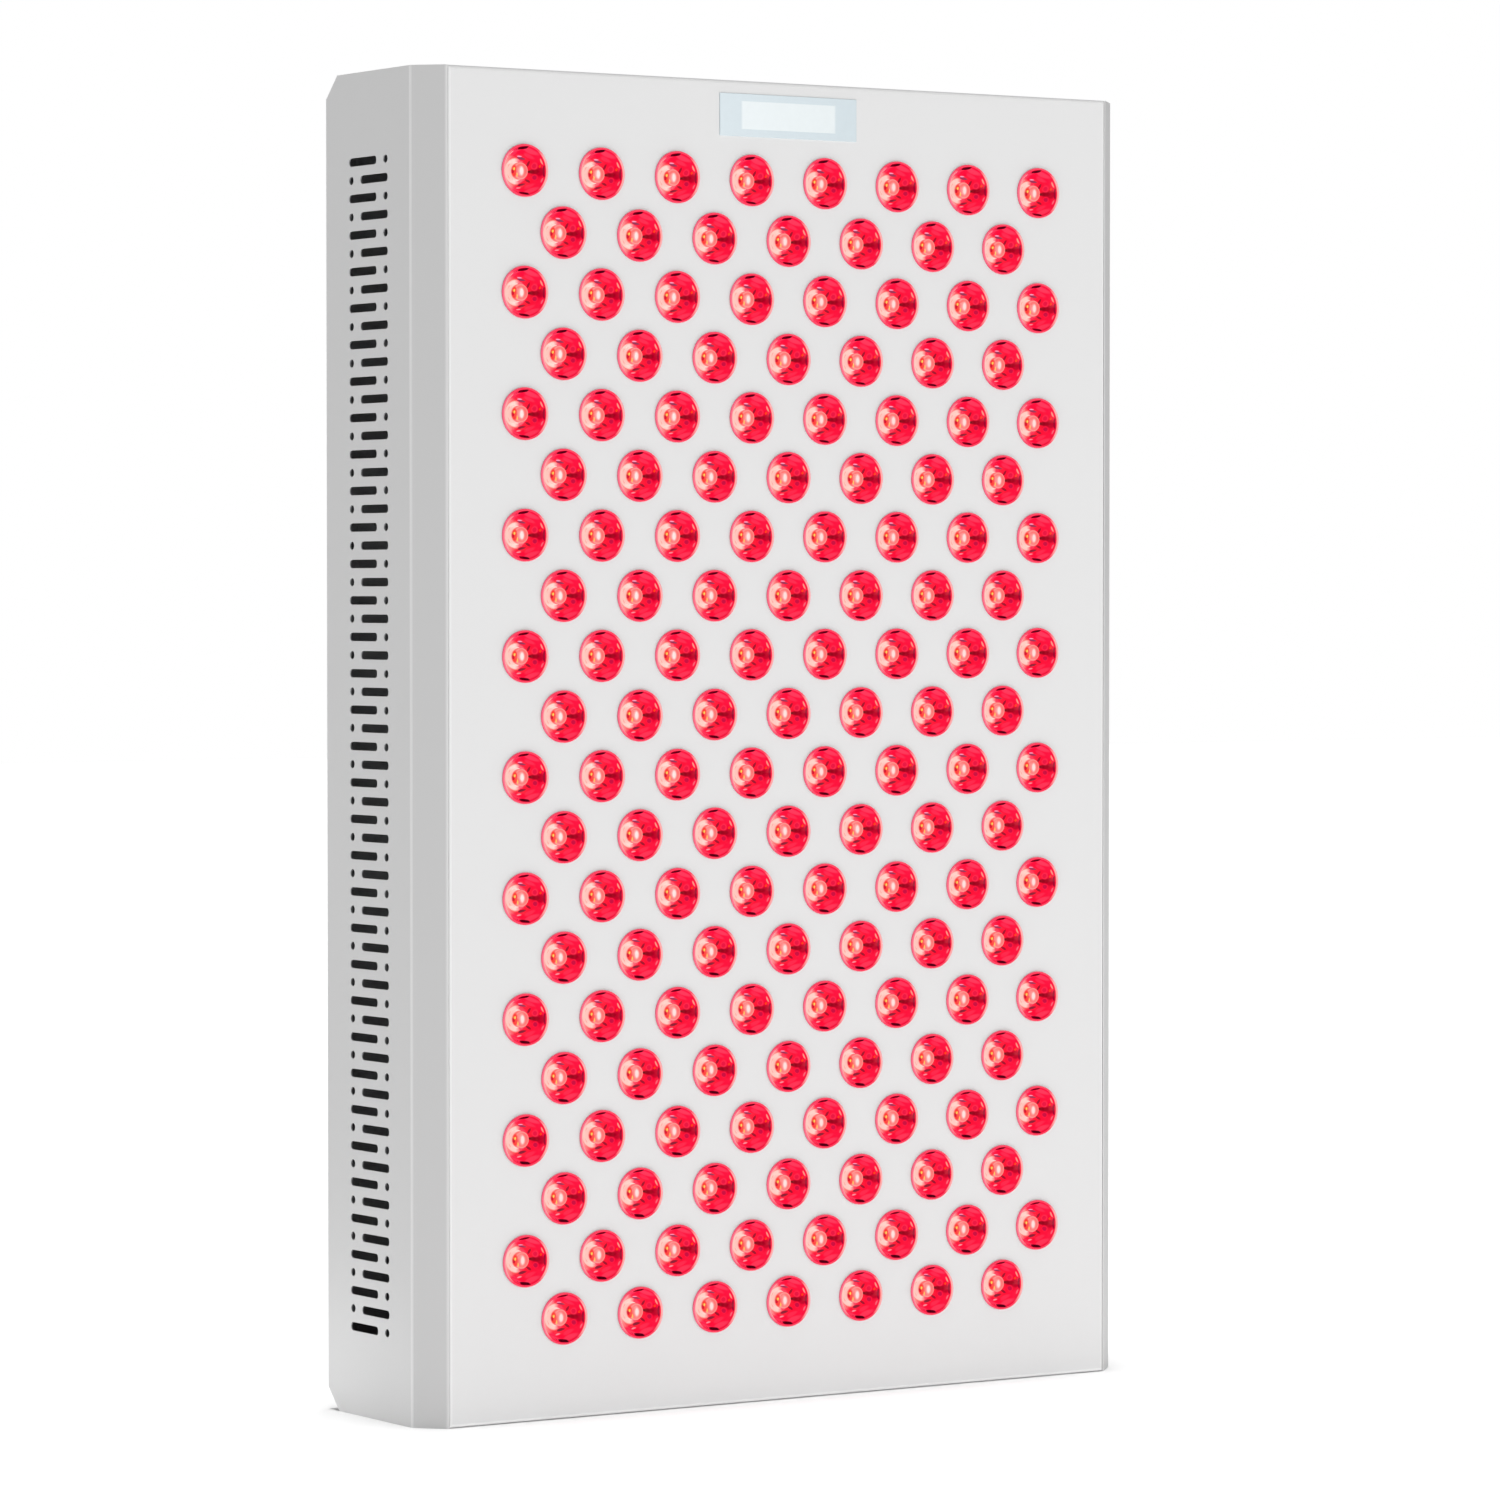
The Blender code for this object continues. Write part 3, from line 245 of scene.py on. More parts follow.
# %% A cut sheet, as the laser leaves it
def worked_out(shown, *tools):
    """The mesh that Blender shows for an object, once its curve and its modifiers are done."""
    for each in (shown, *tools):
        bpy.context.scene.collection.objects.link(each)
    graph = bpy.context.evaluated_depsgraph_get()
    mesh = bpy.data.meshes.new_from_object(shown.evaluated_get(graph))
    for each in (shown, *tools):
        bpy.data.objects.remove(each)
    return mesh


def cut_sheet(outline, holes, thickness, edge):
    """A flat mesh with holes in the (s, t) plane, centred on its thickness."""
    curve = bpy.data.curves.new("flat_pattern", "CURVE")
    curve.dimensions = "2D"
    curve.fill_mode = "BOTH"
    curve.extrude = thickness / 2 - edge
    curve.bevel_depth = edge
    curve.bevel_resolution = 1
    curve.offset = -edge
    for loop in [outline, *holes]:
        spline = curve.splines.new("POLY")
        spline.points.add(len(loop) - 1)
        spline.points.foreach_set("co", [c for s, t in loop for c in (s, t, 0, 1)])
        spline.use_cyclic_u = True
    return worked_out(bpy.data.objects.new("flat_pattern", curve))


# %% The path of a folded sheet
def bend_path(corners, radius):
    """The middle layer of a sheet folded round these outer corners: straight runs and arcs.

    Each run holds where it starts along the flat sheet, its length, its first point, its
    heading, the way to the inside of the folds, and how far it turns."""
    points = [Vector(corner) for corner in corners]
    headings = [(b - a).normalized() for a, b in zip(points, points[1:])]
    side = 1 if len(headings) < 2 or headings[0].cross(headings[1]) > 0 else -1
    inward = [Vector((-h.y, h.x)) * side for h in headings]
    middle = [points[0] + inward[0] * SHEET / 2]
    for k in range(1, len(headings)):
        both = inward[k - 1] + inward[k]
        middle.append(points[k] + both * SHEET / 2 / (1 + inward[k - 1].dot(inward[k])))
    middle.append(points[-1] + inward[-1] * SHEET / 2)
    bend = radius - SHEET / 2
    runs, start, used = [], 0.0, 0.0
    for k, heading in enumerate(headings):
        turn = headings[k].angle_signed(headings[k + 1]) if k + 1 < len(headings) else 0.0
        tangent = bend * math.tan(abs(turn) / 2)
        length = (middle[k + 1] - middle[k]).length - used - tangent
        first = middle[k] + heading * used
        runs.append((start, length, first, heading, inward[k], 0.0))
        start += length
        if turn:
            arc = bend * abs(turn)
            runs.append((start, arc, first + heading * length, heading, inward[k], abs(turn)))
            start += arc
        used = tangent
    return runs, side, bend


# %% Folding the flat mesh round that path
FOLD_STEPS = 6


def cut_across(bm, x):
    """Cuts the faces of a mesh where they cross this x, so that it can bend there."""
    everything = bm.verts[:] + bm.edges[:] + bm.faces[:]
    bmesh.ops.bisect_plane(bm, geom=everything, plane_co=(x, 0, 0), plane_no=(1, 0, 0))


def fold(mesh, path, place):
    """Moves a flat mesh's points round the folds. place turns (u, v, t) into a point."""
    runs, side, bend = path
    work = bmesh.new()
    work.from_mesh(mesh)
    mark = work.verts.layers.float.new(HIGHLIGHT_AND_GLOSS_MARK)
    for start, length, _, _, _, turn in runs:
        for i in range(FOLD_STEPS + 1) if turn else ():
            cut_across(work, start + length * i / FOLD_STEPS)
    for vert in work.verts:
        s, t, w = vert.co
        start, length, first, heading, inward, turn = next(
            run for run in reversed(runs) if s >= run[0] - TOLERANCE or run is runs[0]
        )
        if turn:
            # How far into a bend the point lies, for the glossier coat and the painted highlight.
            vert[mark] = max(0.0, 1 - abs(2 * (s - start) / length - 1) ** 2)
            angle = (s - start) / bend * side
            out = Matrix.Rotation(angle, 2) @ -inward
            spot = first + inward * bend + out * (bend + w)
        else:
            spot = first + heading * (s - start) - inward * w
        vert.co = place(spot.x, spot.y, t)
    bmesh.ops.recalc_face_normals(work, faces=work.faces)
    work.to_mesh(mesh)
    work.free()
    return mesh


def across_x(u, v, t):
    """A sheet whose folds run along x."""
    return (t, u, v)


def across_z(u, v, t):
    """A sheet whose folds run along z."""
    return (u, v, t)


# %% Shaping free edges
def shape_edges(mesh, cuts, move):
    """Cuts a mesh across at these x, then moves its points.

    move turns a point and its mark into new ones."""
    work = bmesh.new()
    work.from_mesh(mesh)
    mark = work.verts.layers.float[HIGHLIGHT_AND_GLOSS_MARK]
    for x in cuts:
        cut_across(work, x)
    for vert in work.verts:
        vert.co, vert[mark] = move(vert.co, vert[mark])
    bmesh.ops.remove_doubles(work, verts=work.verts, dist=TOLERANCE)
    bmesh.ops.recalc_face_normals(work, faces=work.faces)
    work.to_mesh(mesh)
    work.free()


# %% Turned shapes
def turn(bm, profile, centre, segments):
    """Turns a profile of (radius, distance along +Y) round the Y axis through the centre."""
    x, y, z = centre
    rings = []
    for radius, along_y in profile:
        count = segments if radius > TOLERANCE else 1
        turns = [2 * math.pi * i / segments for i in range(count)]
        spots = [(x + radius * math.cos(a), y + along_y, z + radius * math.sin(a)) for a in turns]
        rings.append([bm.verts.new(spot) for spot in spots])
    for ring, after in zip(rings, rings[1:]):
        for i in range(segments):
            j = (i + 1) % segments
            corners = [ring[i % len(ring)], ring[j % len(ring)]]
            corners += [after[j % len(after)], after[i % len(after)]]
            bm.faces.new(list(dict.fromkeys(corners)))


def turned(profile, centre, segments):
    """A mesh of one turned shape."""
    bm = bmesh.new()
    turn(bm, profile, centre, segments)
    return closed(bm)


def in_mm(profile):
    """A profile in metres, from one that is written in millimetres."""
    return [(radius * MM, along_y * MM) for radius, along_y in profile]


def closed(bm):
    """Finishes a bmesh: all faces outward, then into a mesh."""
    bmesh.ops.recalc_face_normals(bm, faces=bm.faces)
    mesh = bpy.data.meshes.new("shape")
    bm.to_mesh(mesh)
    bm.free()
    return mesh


# %% Turning meshes into pieces
SHARP = math.radians(38)


def piece(name, mesh, material, body="housing", nodes=()):
    """Makes a piece from a mesh, shades its round faces smooth, and rides it on its body."""
    made = bpy.data.objects.new(name, mesh)
    bpy.context.scene.collection.objects.link(made)
    if material:
        mesh.materials.clear()
        mesh.materials.append(material)
    mesh.shade_smooth()
    mesh.set_sharp_from_angle(angle=SHARP)
    made.modifiers.new("even_flats", "WEIGHTED_NORMAL").keep_sharp = True
    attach(made, body)
    if nodes:
        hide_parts(*nodes)
    print(name, len(mesh.polygons), "faces")
    return made


def joined(meshes):
    """One mesh from several."""
    whole = bmesh.new()
    for mesh in meshes:
        whole.from_mesh(mesh)
        bpy.data.meshes.remove(mesh)
    mesh = bpy.data.meshes.new("joined")
    whole.to_mesh(mesh)
    whole.free()
    return mesh


# %% [markdown]
# ## Front plate
#
# One sheet with 150 round lamp holes and a window for the display. Its top and bottom edges
# are folded back with a radius of two millimetres, and the folded lips widen to run under the
# side panels' chamfers. Its side edges are left a hair short of the chamfers, so the seam
# shows as a fine line between two soft edges. The lamp holes are cut a little tighter than the
# lenses, so no gap shows round them.

# %% Front plate
FRONT_BEND = 2 * MM
SIDE_ROLL = 1.3 * MM
ROLL_SHARES = (1.0, 0.8, 0.6, 0.42, 0.27, 0.14, 0.05)
EDGE = 0.3 * MM
LENS_OVERLAP = 0.15 * MM
LIP_NOTCH = 0.5 * MM
SCREEN_OPENING = (15 * MM, 54 * MM)
window_mid = middle_xz(*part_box("display_window"))

plate_corners = [(LIP_END, HEIGHT), (FRONT, HEIGHT), (FRONT, 0), (LIP_END, 0)]
plate_path = bend_path(plate_corners, FRONT_BEND)
FLAT_LENGTH = sum(run[1] for run in plate_path[0])
PLATE_HALF = FRONT_HALF - SEAM
FLARE = INSERT_HALF - PLATE_HALF
lip = plate_path[0][0][1]
middle_run = plate_path[0][2]


def plate_s(z):
    """The flat position of a height on the front face."""
    return middle_run[0] + (HEIGHT - FRONT_BEND) - z


flare_start = lip + LIP_NOTCH
half_outline = [
    (flare_start, PLATE_HALF),
    (max(flare_start - FLARE, 1 * MM), INSERT_HALF),
    (0, INSERT_HALF),
]
half_outline = half_outline[::-1] + [(FLAT_LENGTH - s, t) for s, t in half_outline]
plate_outline = half_outline + [(s, -t) for s, t in reversed(half_outline)]
plate_holes = [
    circle(LENS_DIAMETER / 2 - LENS_OVERLAP, (plate_s(z), x))
    for strip_z in strip_heights
    for x, z in lamp_places(strip_z)
]
plate_holes.append(rounded(*SCREEN_OPENING, 1 * MM, (plate_s(window_mid[1]), 0)))
plate_mesh = cut_sheet(plate_outline, plate_holes, SHEET, EDGE)
fold(plate_mesh, plate_path, across_x)


def roll_side(point, mark):
    """Rolls the plate's outer face back at its left and right edges."""
    over = abs(point.x) - (PLATE_HALF - SIDE_ROLL)
    if not 0 < over <= SIDE_ROLL + TOLERANCE or point.y > FRONT + SHEET:
        return point, mark
    drop = SIDE_ROLL - math.sqrt(max(0.0, SIDE_ROLL**2 - over**2))
    share = over / SIDE_ROLL
    rolled = Vector((point.x, max(point.y, FRONT + drop), point.z))
    # The rolled edge gets the fold's gloss and its painted highlight.
    return rolled, max(mark, 4 * share * (1 - share))


roll_cuts = [side * (PLATE_HALF - SIDE_ROLL * share) for side in (-1, 1) for share in ROLL_SHARES]
shape_edges(plate_mesh, roll_cuts, roll_side)
front_plate = piece("front_plate_folded", plate_mesh, WHITE_COAT, nodes=["front_plate"])

# %% [markdown]
# ## Side panels
#
# Each side is one sheet: the vented wall and the chamfer, with a soft fold between them. The
# two flanges behind the covers are welded on, so they are flat strips of their own in the same
# piece. The vents are 65 rows of one slot and one small hole, which change places from row to
# row. The slots have small corner radii, as a punch leaves them.
#
# The real vents show hardly any wall inside them, so the sheet is drawn thinner than the
# others, on the same outer face. What fits between the two panels is wider by as much.

# %% Vents, screw holes and flanges
SIDE_BEND = 2.5 * MM
VENT_ROWS = 65
VENT_PITCH = 8 * MM
VENT_FRONT = FRONT + 31.5 * MM
SLOT = (23.7 * MM, 3.7 * MM)
SLOT_CORNER = 1.5 * MM
VENT_LAND = 6.3 * MM
VENT_HOLE = 3.6 * MM
VENT_BAND = SLOT[0] + VENT_LAND + VENT_HOLE
FLANGE = 14 * MM
SCREW_HOLE = 4 * MM
screw_places = [middle_xz(*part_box(f"cover_screw_{number}")) for number in range(1, 7)]


def upright(mesh, y):
    """Stands a flat mesh up in the (x, z) plane, with its middle layer at this y."""
    for vert in mesh.vertices:
        s, t, w = vert.co
        vert.co = (s, y - w, t)
    return mesh


def flange_strip(side, edge, ends, y, holes=()):
    """A welded flange, from the sheet's edge towards the middle of the panel."""
    centre = (side * (edge - FLANGE / 2), HEIGHT / 2)
    outline = rounded(FLANGE, HEIGHT - 2 * ends, 0.5 * MM, centre, 2)
    return upright(cut_sheet(outline, list(holes), SHEET, EDGE), y)


# %% A side panel
VENTED_EDGE = 0.12 * MM
CURL = 1.3 * MM
CURL_SLOPE = 0.3
CURL_STEPS = 5
FRONT_FLANGE_ENDS = 3 * MM
REAR_FLANGE_ENDS = 25 * MM


def side_panel(name, side):
    corner = (side * HALF_WIDTH, FRONT + CHAMFER)
    path = bend_path([(side * FRONT_HALF, FRONT), corner, (corner[0], BACK)], SIDE_BEND)
    wall = path[0][2]

    def at(y):
        return wall[0] + y - wall[2].y

    end = wall[0] + wall[1]
    outline = [
        (0, 0),
        (end - REAR_CUT, 0),
        (end, REAR_CUT),
        (end, HEIGHT - REAR_CUT),
        (end - REAR_CUT, HEIGHT),
        (0, HEIGHT),
    ]
    holes = []
    for row in range(VENT_ROWS):
        z = HEIGHT / 2 + ((VENT_ROWS - 1) / 2 - row) * VENT_PITCH
        slot_y = VENT_FRONT + SLOT[0] / 2
        hole_y = VENT_FRONT + VENT_BAND - VENT_HOLE / 2
        if row % 2 == 0:
            slot_y = VENT_FRONT + VENT_BAND - SLOT[0] / 2
            hole_y = VENT_FRONT + VENT_HOLE / 2
        holes.append(rounded(*SLOT, SLOT_CORNER, (at(slot_y), z), 4))
        holes.append(circle(VENT_HOLE / 2, (at(hole_y), z), 16))
    mesh = cut_sheet(outline, holes, VENTED_SHEET, VENTED_EDGE)
    mesh.transform(Matrix.Translation((0, 0, (SHEET - VENTED_SHEET) / 2)))
    fold(mesh, path, across_z)

    def turn_in(point, mark):
        """Ends the sheet beside the plate's edge, and curves its outer face in towards the seam."""
        over = max(abs(point.x) - FRONT_HALF, 0)
        left = max(1 - over / CURL, 0)
        curved = FRONT + over + CURL * left**2 * (1 - CURL_SLOPE) / 2
        # The curl gets the fold's gloss and its painted highlight.
        if point.y < curved:
            mark = max(mark, left)
        return Vector((side * (FRONT_HALF + over), max(point.y, curved), point.z)), mark

    steps = range(1, CURL_STEPS + 1)
    shape_edges(mesh, [side * (FRONT_HALF + CURL * k / CURL_STEPS) for k in steps], turn_in)
    node = "right_side_panel" if side > 0 else "left_side_panel"
    drilled = [circle(SCREW_HOLE / 2, (x, z), 16) for x, z in screw_places if x * side > 0]
    behind_plate = FRONT + 1.5 * SHEET + CLEARANCE
    inside_cover = BACK - 1.5 * SHEET - CLEARANCE
    wall_middle = HALF_WIDTH - VENTED_SHEET / 2
    flanges = [
        flange_strip(side, FRONT_HALF + SHEET, FRONT_FLANGE_ENDS, behind_plate),
        flange_strip(side, wall_middle, REAR_FLANGE_ENDS, inside_cover, drilled),
    ]
    panel = piece(name, joined([mesh, *flanges]), WHITE_COAT, nodes=[node])
    return panel


left_side = side_panel("left_side_folded", -1)
right_side = side_panel("right_side_folded", 1)

# %% [markdown]
# ## Top and bottom plates
#
# A closed steel end, folded 45 degrees at the back and again behind the back cover, where a
# short flange takes the load. Two small tabs stand inside the side panels to be spot welded.

# %% Top and bottom plates
END_BEND = 2 * MM
CORNER_Y = BACK - REAR_CUT
END_FRONT = LIP_END + CLEARANCE
END_FLANGE_TOP = 24 * MM
TAB_HEIGHT = 12 * MM
TAB_INSET = 8 * MM
TAB_CORNER = 3 * MM


def end_plate(name, node, flip):
    """The top plate, or its mirror image at the bottom where flip is -1."""
    flange_y = BACK - SHEET - CLEARANCE
    corners = [
        (END_FRONT, HEIGHT),
        (CORNER_Y, HEIGHT),
        (flange_y, HEIGHT - (flange_y - CORNER_Y)),
        (flange_y, HEIGHT - END_FLANGE_TOP),
    ]

    def place(u, v, t):
        return (t, u, HEIGHT / 2 + (v - HEIGHT / 2) * flip)

    path = bend_path(corners, END_BEND)
    length = path[0][-1][0] + path[0][-1][1]
    outline = [(0, -INSERT_HALF), (length, -INSERT_HALF), (length, INSERT_HALF), (0, INSERT_HALF)]
    plate = fold(cut_sheet(outline, [], SHEET, EDGE), path, place)
    centre = ((END_FRONT + CORNER_Y) / 2, HEIGHT - TAB_HEIGHT / 2 - SHEET / 2)
    tab_length = CORNER_Y - END_FRONT - 2 * TAB_INSET
    tabs = []
    for side in (-1, 1):
        tab = cut_sheet(rounded(tab_length, TAB_HEIGHT, TAB_CORNER, centre), [], SHEET, EDGE)
        for vert in tab.vertices:
            s, t, w = vert.co
            vert.co = place(s, t, side * (INSERT_HALF - SHEET / 2) + w)
        tabs.append(tab)
    made = piece(name, joined([plate, *tabs]), WHITE_COAT, nodes=[node])
    return made


top_plate = end_plate("top_plate_folded", "top_end_plate", 1)
end_plate("bottom_plate_folded", "bottom_end_plate", -1)

# %% [markdown]
# ## Back cover
#
# A flat sheet that lifts off. It has three round fan openings, a cutout each for the inlet and
# the switch, and six screw holes.

# %% Back cover
FAN_OPENING = 114 * MM
fan_heights = [middle_xz(*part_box(f"fan_guard_{number}"))[1] for number in (1, 2, 3)]
inlet_mid = middle_xz(*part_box("inlet_body"))
switch_mid = middle_xz(*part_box("switch_body"))
INLET_CUTOUT = (28 * MM, 20.6 * MM)
SWITCH_CUTOUT = (22.6 * MM, 29.2 * MM)
CUTOUT_CORNER = 0.5 * MM

cover_size = (2 * INSERT_HALF, cover_high.z - cover_low.z)
cover_outline = rounded(*cover_size, 1 * MM, (0, HEIGHT / 2))
cover_holes = [circle(FAN_OPENING / 2, (0, z), 72) for z in fan_heights]
cover_holes += [circle(SCREW_HOLE / 2, place, 20) for place in screw_places]
cover_holes.append(rounded(*INLET_CUTOUT, CUTOUT_CORNER, inlet_mid))
cover_holes.append(rounded(*SWITCH_CUTOUT, CUTOUT_CORNER, switch_mid))
cover_mesh = upright(cut_sheet(cover_outline, cover_holes, SHEET, EDGE), BACK - SHEET / 2)
back_cover = piece("back_cover_sheet", cover_mesh, WHITE_COAT, nodes=["back_cover"])

# %% [markdown]
# ## Lamp lenses
#
# Behind each lamp hole is a clear cup lens, a turned shape: a rounded rim, a deep cup that
# narrows to a flat floor, and a small dome over the lamp chip. The red comes from inside, so
# the cup glows by itself and also mirrors the room in its polished wall. Each lens is a closed
# solid turned from one profile, fifteen to a moulded strip.
#
# The lens also stores where each point lies across its face, in a UV map, so that one material
# can draw the bright and dark patches that its curved walls show. Most of them are painted light
# and shade: painted highlights, glints, sheen and reflections, and painted shade. Some patches
# are drawn in one quarter and mirrored to the other three, as the moulding itself is. The others
# stand alone, because the light that falls on the lens, its shade and the chip inside aren't the
# same on all sides.

# %% The lens profile, as radius and depth behind the rim in millimetres
LENS_PROFILE = in_mm([
    (0.0, 9.4),
    (11.5, 9.4),
    (11.5, 1.3),
    (11.48, 0.55),
    (11.4, 0.26),
    (11.25, 0.07),
    (11.05, 0.0),
    (10.88, 0.07),
    (10.74, 0.3),
    (10.45, 0.85),
    (10.0, 1.6),
    (9.4, 2.6),
    (8.75, 3.6),
    (8.05, 4.75),
    (7.4, 5.75),
    (6.8, 6.8),
    (6.3, 7.7),
    (6.0, 8.3),
    (5.85, 8.7),
    (5.6, 8.88),
    (5.3, 8.9),
    (3.95, 8.9),
    (3.78, 8.7),
    (3.72, 4.9),
    (3.62, 4.55),
    (3.35, 4.25),
    (2.8, 4.05),
    (1.9, 3.93),
    (1.0, 3.9),
    (0.0, 3.9),
])
print("lens profile:", len(LENS_PROFILE), "points")

# %% A strip of fifteen lenses
LENS_SEGMENTS = 48
LENS_MAP = "lens_face"
STRIP_SHEET = 1.5 * MM
STRIP_EDGE = 0.2 * MM
STRIP_CORNER = 1 * MM
BEHIND_STRIP = 5 * MM
STRIP_HOLE = 11.4 * MM


def lens_strip(name, node, strip_z):
    low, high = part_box(node)
    rim = low.y
    slab_y = high.y - BEHIND_STRIP - STRIP_SHEET / 2
    places = list(lamp_places(strip_z))
    outline = rounded(*size_xz(low, high), STRIP_CORNER, (0, strip_z), 3)
    holes = [circle(STRIP_HOLE, place) for place in places]
    slab = upright(cut_sheet(outline, holes, STRIP_SHEET, STRIP_EDGE), slab_y)
    lenses = bmesh.new()
    for x, z in places:
        turn(lenses, LENS_PROFILE, (x, rim, z), LENS_SEGMENTS)
    mesh = joined([slab, closed(lenses)])
    across = mesh.uv_layers.new(name=LENS_MAP)
    spots = np.zeros(3 * len(mesh.vertices))
    mesh.vertices.foreach_get("co", spots)
    spots = spots.reshape(-1, 3)[:, [0, 2]]
    centres = np.array(places)
    nearest = np.argmin(((spots[:, None] - centres[None]) ** 2).sum(2), axis=1)
    offset = (spots - centres[nearest]) / (LENS_DIAMETER / 2)
    corner_verts = np.zeros(len(mesh.loops), dtype=int)
    mesh.loops.foreach_get("vertex_index", corner_verts)
    across.uv.foreach_set("vector", offset[corner_verts].ravel())
    made = piece(name, mesh, None, nodes=[node])
    return made


strips = [
    lens_strip(f"lens_row_pair_{number:02d}", node, z)
    for number, (node, z) in enumerate(zip(STRIPS, strip_heights), 1)
]

# %% [markdown]
# ## The lenses' finish
#
# Polished clear acrylic, lit red from behind. Acrylic bends light by 1.49 and is very smooth.
# Most of each colour is given as light that the lens sends out, and the rest as its surface.
# The whole strip has this one finish, its back too.
#
# The colours run from the middle of the lens to its rim in steps, as shares of its radius. Two
# more rows of steps stand in for the first one in places, as painted light and shade: the floor
# to the right of the dome is painted redder, without its pale glow, as painted shade, and the rim
# is painted paler at the left and right than at the top and bottom, as a painted highlight.

# %% Colours from the lens's middle to its rim
FROM_MIDDLE = [
    (0.00, "FF8480"),
    (0.18, "FF6E6C"),
    (0.26, "FF7C7A"),
    (0.295, "FFA8A2"),
    (0.325, "FF7876"),
    (0.34, "FFDCD0"),
    (0.47, "FFD0C6"),
    (0.505, "FF7E78"),
    (0.53, "FF0A36"),
    (0.62, "FF0C3A"),
    (0.86, "FF1844"),
    (0.915, "F00C3C"),
    (0.935, "FF4864"),
    (0.97, "FF3858"),
    (1.00, "F43C62"),
]
# Painted shade: the floor right of the dome, without its pale glow.
RIGHT_FLOOR_SHADE = [
    (0.325, "FF7876"),
    (0.34, "FF506A"),
    (0.47, "FF2A50"),
    (0.53, "FF0A36"),
    (0.62, "FF0C3A"),
]
# Painted highlight on the rim at the left and right.
RIM_HIGHLIGHT_RINGS = [
    (0.00, "FF1844"),
    (0.90, "FF1844"),
    (0.915, "FF2C52"),
    (0.93, "FFBCB6"),
    (0.955, "FFB0AE"),
    (0.97, "FF7C90"),
    (1.00, "FF6A88"),
]
print("steps of colour:", len(FROM_MIDDLE), len(RIGHT_FLOOR_SHADE), len(RIM_HIGHLIGHT_RINGS))

# %% Patches of painted light and shade, and of the chip: name, centre, half size, turn, squarish or not, colour
# Mirrored patches: a sheen and a sheen band as painted highlights, and painted shade at the sides.
MIRRORED_PATCHES = [
    ("sheen along the wall", (3.6, 8.6), (4.0, 0.75), -22, False, "FF3A5C"),
    ("painted sheen band over the axis", (4.3, 6.6), (2.6, 0.6), -28, False, "FF2C52"),
    ("wall at the sides, in shade", (7.9, 0.0), (1.9, 3.6), 0, False, "EE0032"),
]
# Single patches paint light and shade on one side. The wedge and the strokes beside the dome and
# along the floor's edges are painted shade, and the petals are painted reflections. The slots are
# real slots in the holder, painted dark as painted shade. The glints, streaks and orange spot are
# painted highlights. The lamp chip and its glow are the lamp's own light.
SINGLE_PATCHES = [
    ("shaded wedge at the wall", (8.9, -0.2), (1.25, 1.85), 0, False, "BE002A"),
    ("middle of the wedge", (7.5, 0.0), (1.35, 1.05), 0, False, "9E0020"),
    ("neck of the wedge", (6.7, 0.0), (0.9, 0.6), 0, False, "8A001C"),
    ("thin end of the wedge", (6.1, 0.0), (0.5, 0.35), 0, False, "64000E"),
    ("upper petal's edge", (7.35, 2.4), (0.85, 1.55), 10, False, "FF3054"),
    ("upper petal", (7.3, 2.4), (0.6, 1.15), 10, False, "E41444"),
    ("lower petal's edge", (7.4, -2.6), (0.8, 1.35), -14, False, "FF1E48"),
    ("lower petal", (7.35, -2.6), (0.58, 1.0), -14, False, "C80C44"),
    ("upper shaded stroke beside the dome", (5.5, 3.45), (0.34, 1.25), 3, False, "98002A"),
    ("lower shaded stroke beside the dome", (5.15, -4.05), (0.5, 0.8), 20, False, "98042C"),
    ("shaded slot at the right", (9.95, 0.0), (0.26, 2.4), 0, True, "9C0030"),
    ("shaded slot at the top", (-0.7, 9.8), (2.5, 0.58), 7, True, "3C0010"),
    ("shaded slot at the bottom", (-0.2, -9.85), (2.4, 0.58), -5, True, "3C0010"),
    ("small dark mark left of the top slot", (-3.6, 8.9), (0.45, 0.3), 30, False, "A03054"),
    ("small dark mark left of the bottom slot", (-3.4, -9.0), (0.45, 0.28), -30, False, "C02848"),
    ("glint at the upper left", (-6.3, 7.5), (1.3, 0.24), 42, False, "FFC4C8"),
    ("shaded line at the floor's upper edge", (2.1, 5.75), (1.9, 0.42), -15, False, "8C3458"),
    ("shaded line at the floor's lower edge", (2.1, -5.8), (1.9, 0.42), 17, False, "801030"),
    ("glint over the upper line", (0.9, 6.5), (1.1, 0.24), -6, False, "F0A4CC"),
    ("glint under the lower line", (-0.6, -7.4), (1.4, 0.25), 8, False, "FF9CAC"),
    ("highlight streak by the upper wall", (8.9, 4.2), (0.2, 1.35), 26, False, "FF9A8E"),
    ("highlight streak by the lower wall", (9.1, -3.9), (0.2, 1.1), -26, False, "FF6A80"),
    ("red side of the chip's dome", (-3.1, 0.0), (0.8, 2.9), 0, False, "FF4A40"),
    ("dark legs beside the chip", (-3.7, 0.0), (0.25, 1.9), 0, False, "D01C3A"),
    ("upper yellow glint", (-3.35, 0.8), (0.26, 0.65), -12, False, "FFE468"),
    ("lower yellow glint", (-2.1, -1.8), (0.26, 0.95), 6, False, "FFCE58"),
    ("lamp chip's glow", (0.0, 0.0), (1.5, 2.3), 0, False, "FF9894"),
    ("lamp chip", (0.1, 0.0), (0.95, 1.75), 0, False, "FFDCD8"),
    ("orange highlight on the wall", (8.85, 2.2), (0.28, 0.6), 0, False, "FF4418"),
]
PATCH_EDGE = (1.3, 0.65)
print("patches:", len(MIRRORED_PATCHES), "mirrored and", len(SINGLE_PATCHES), "single")


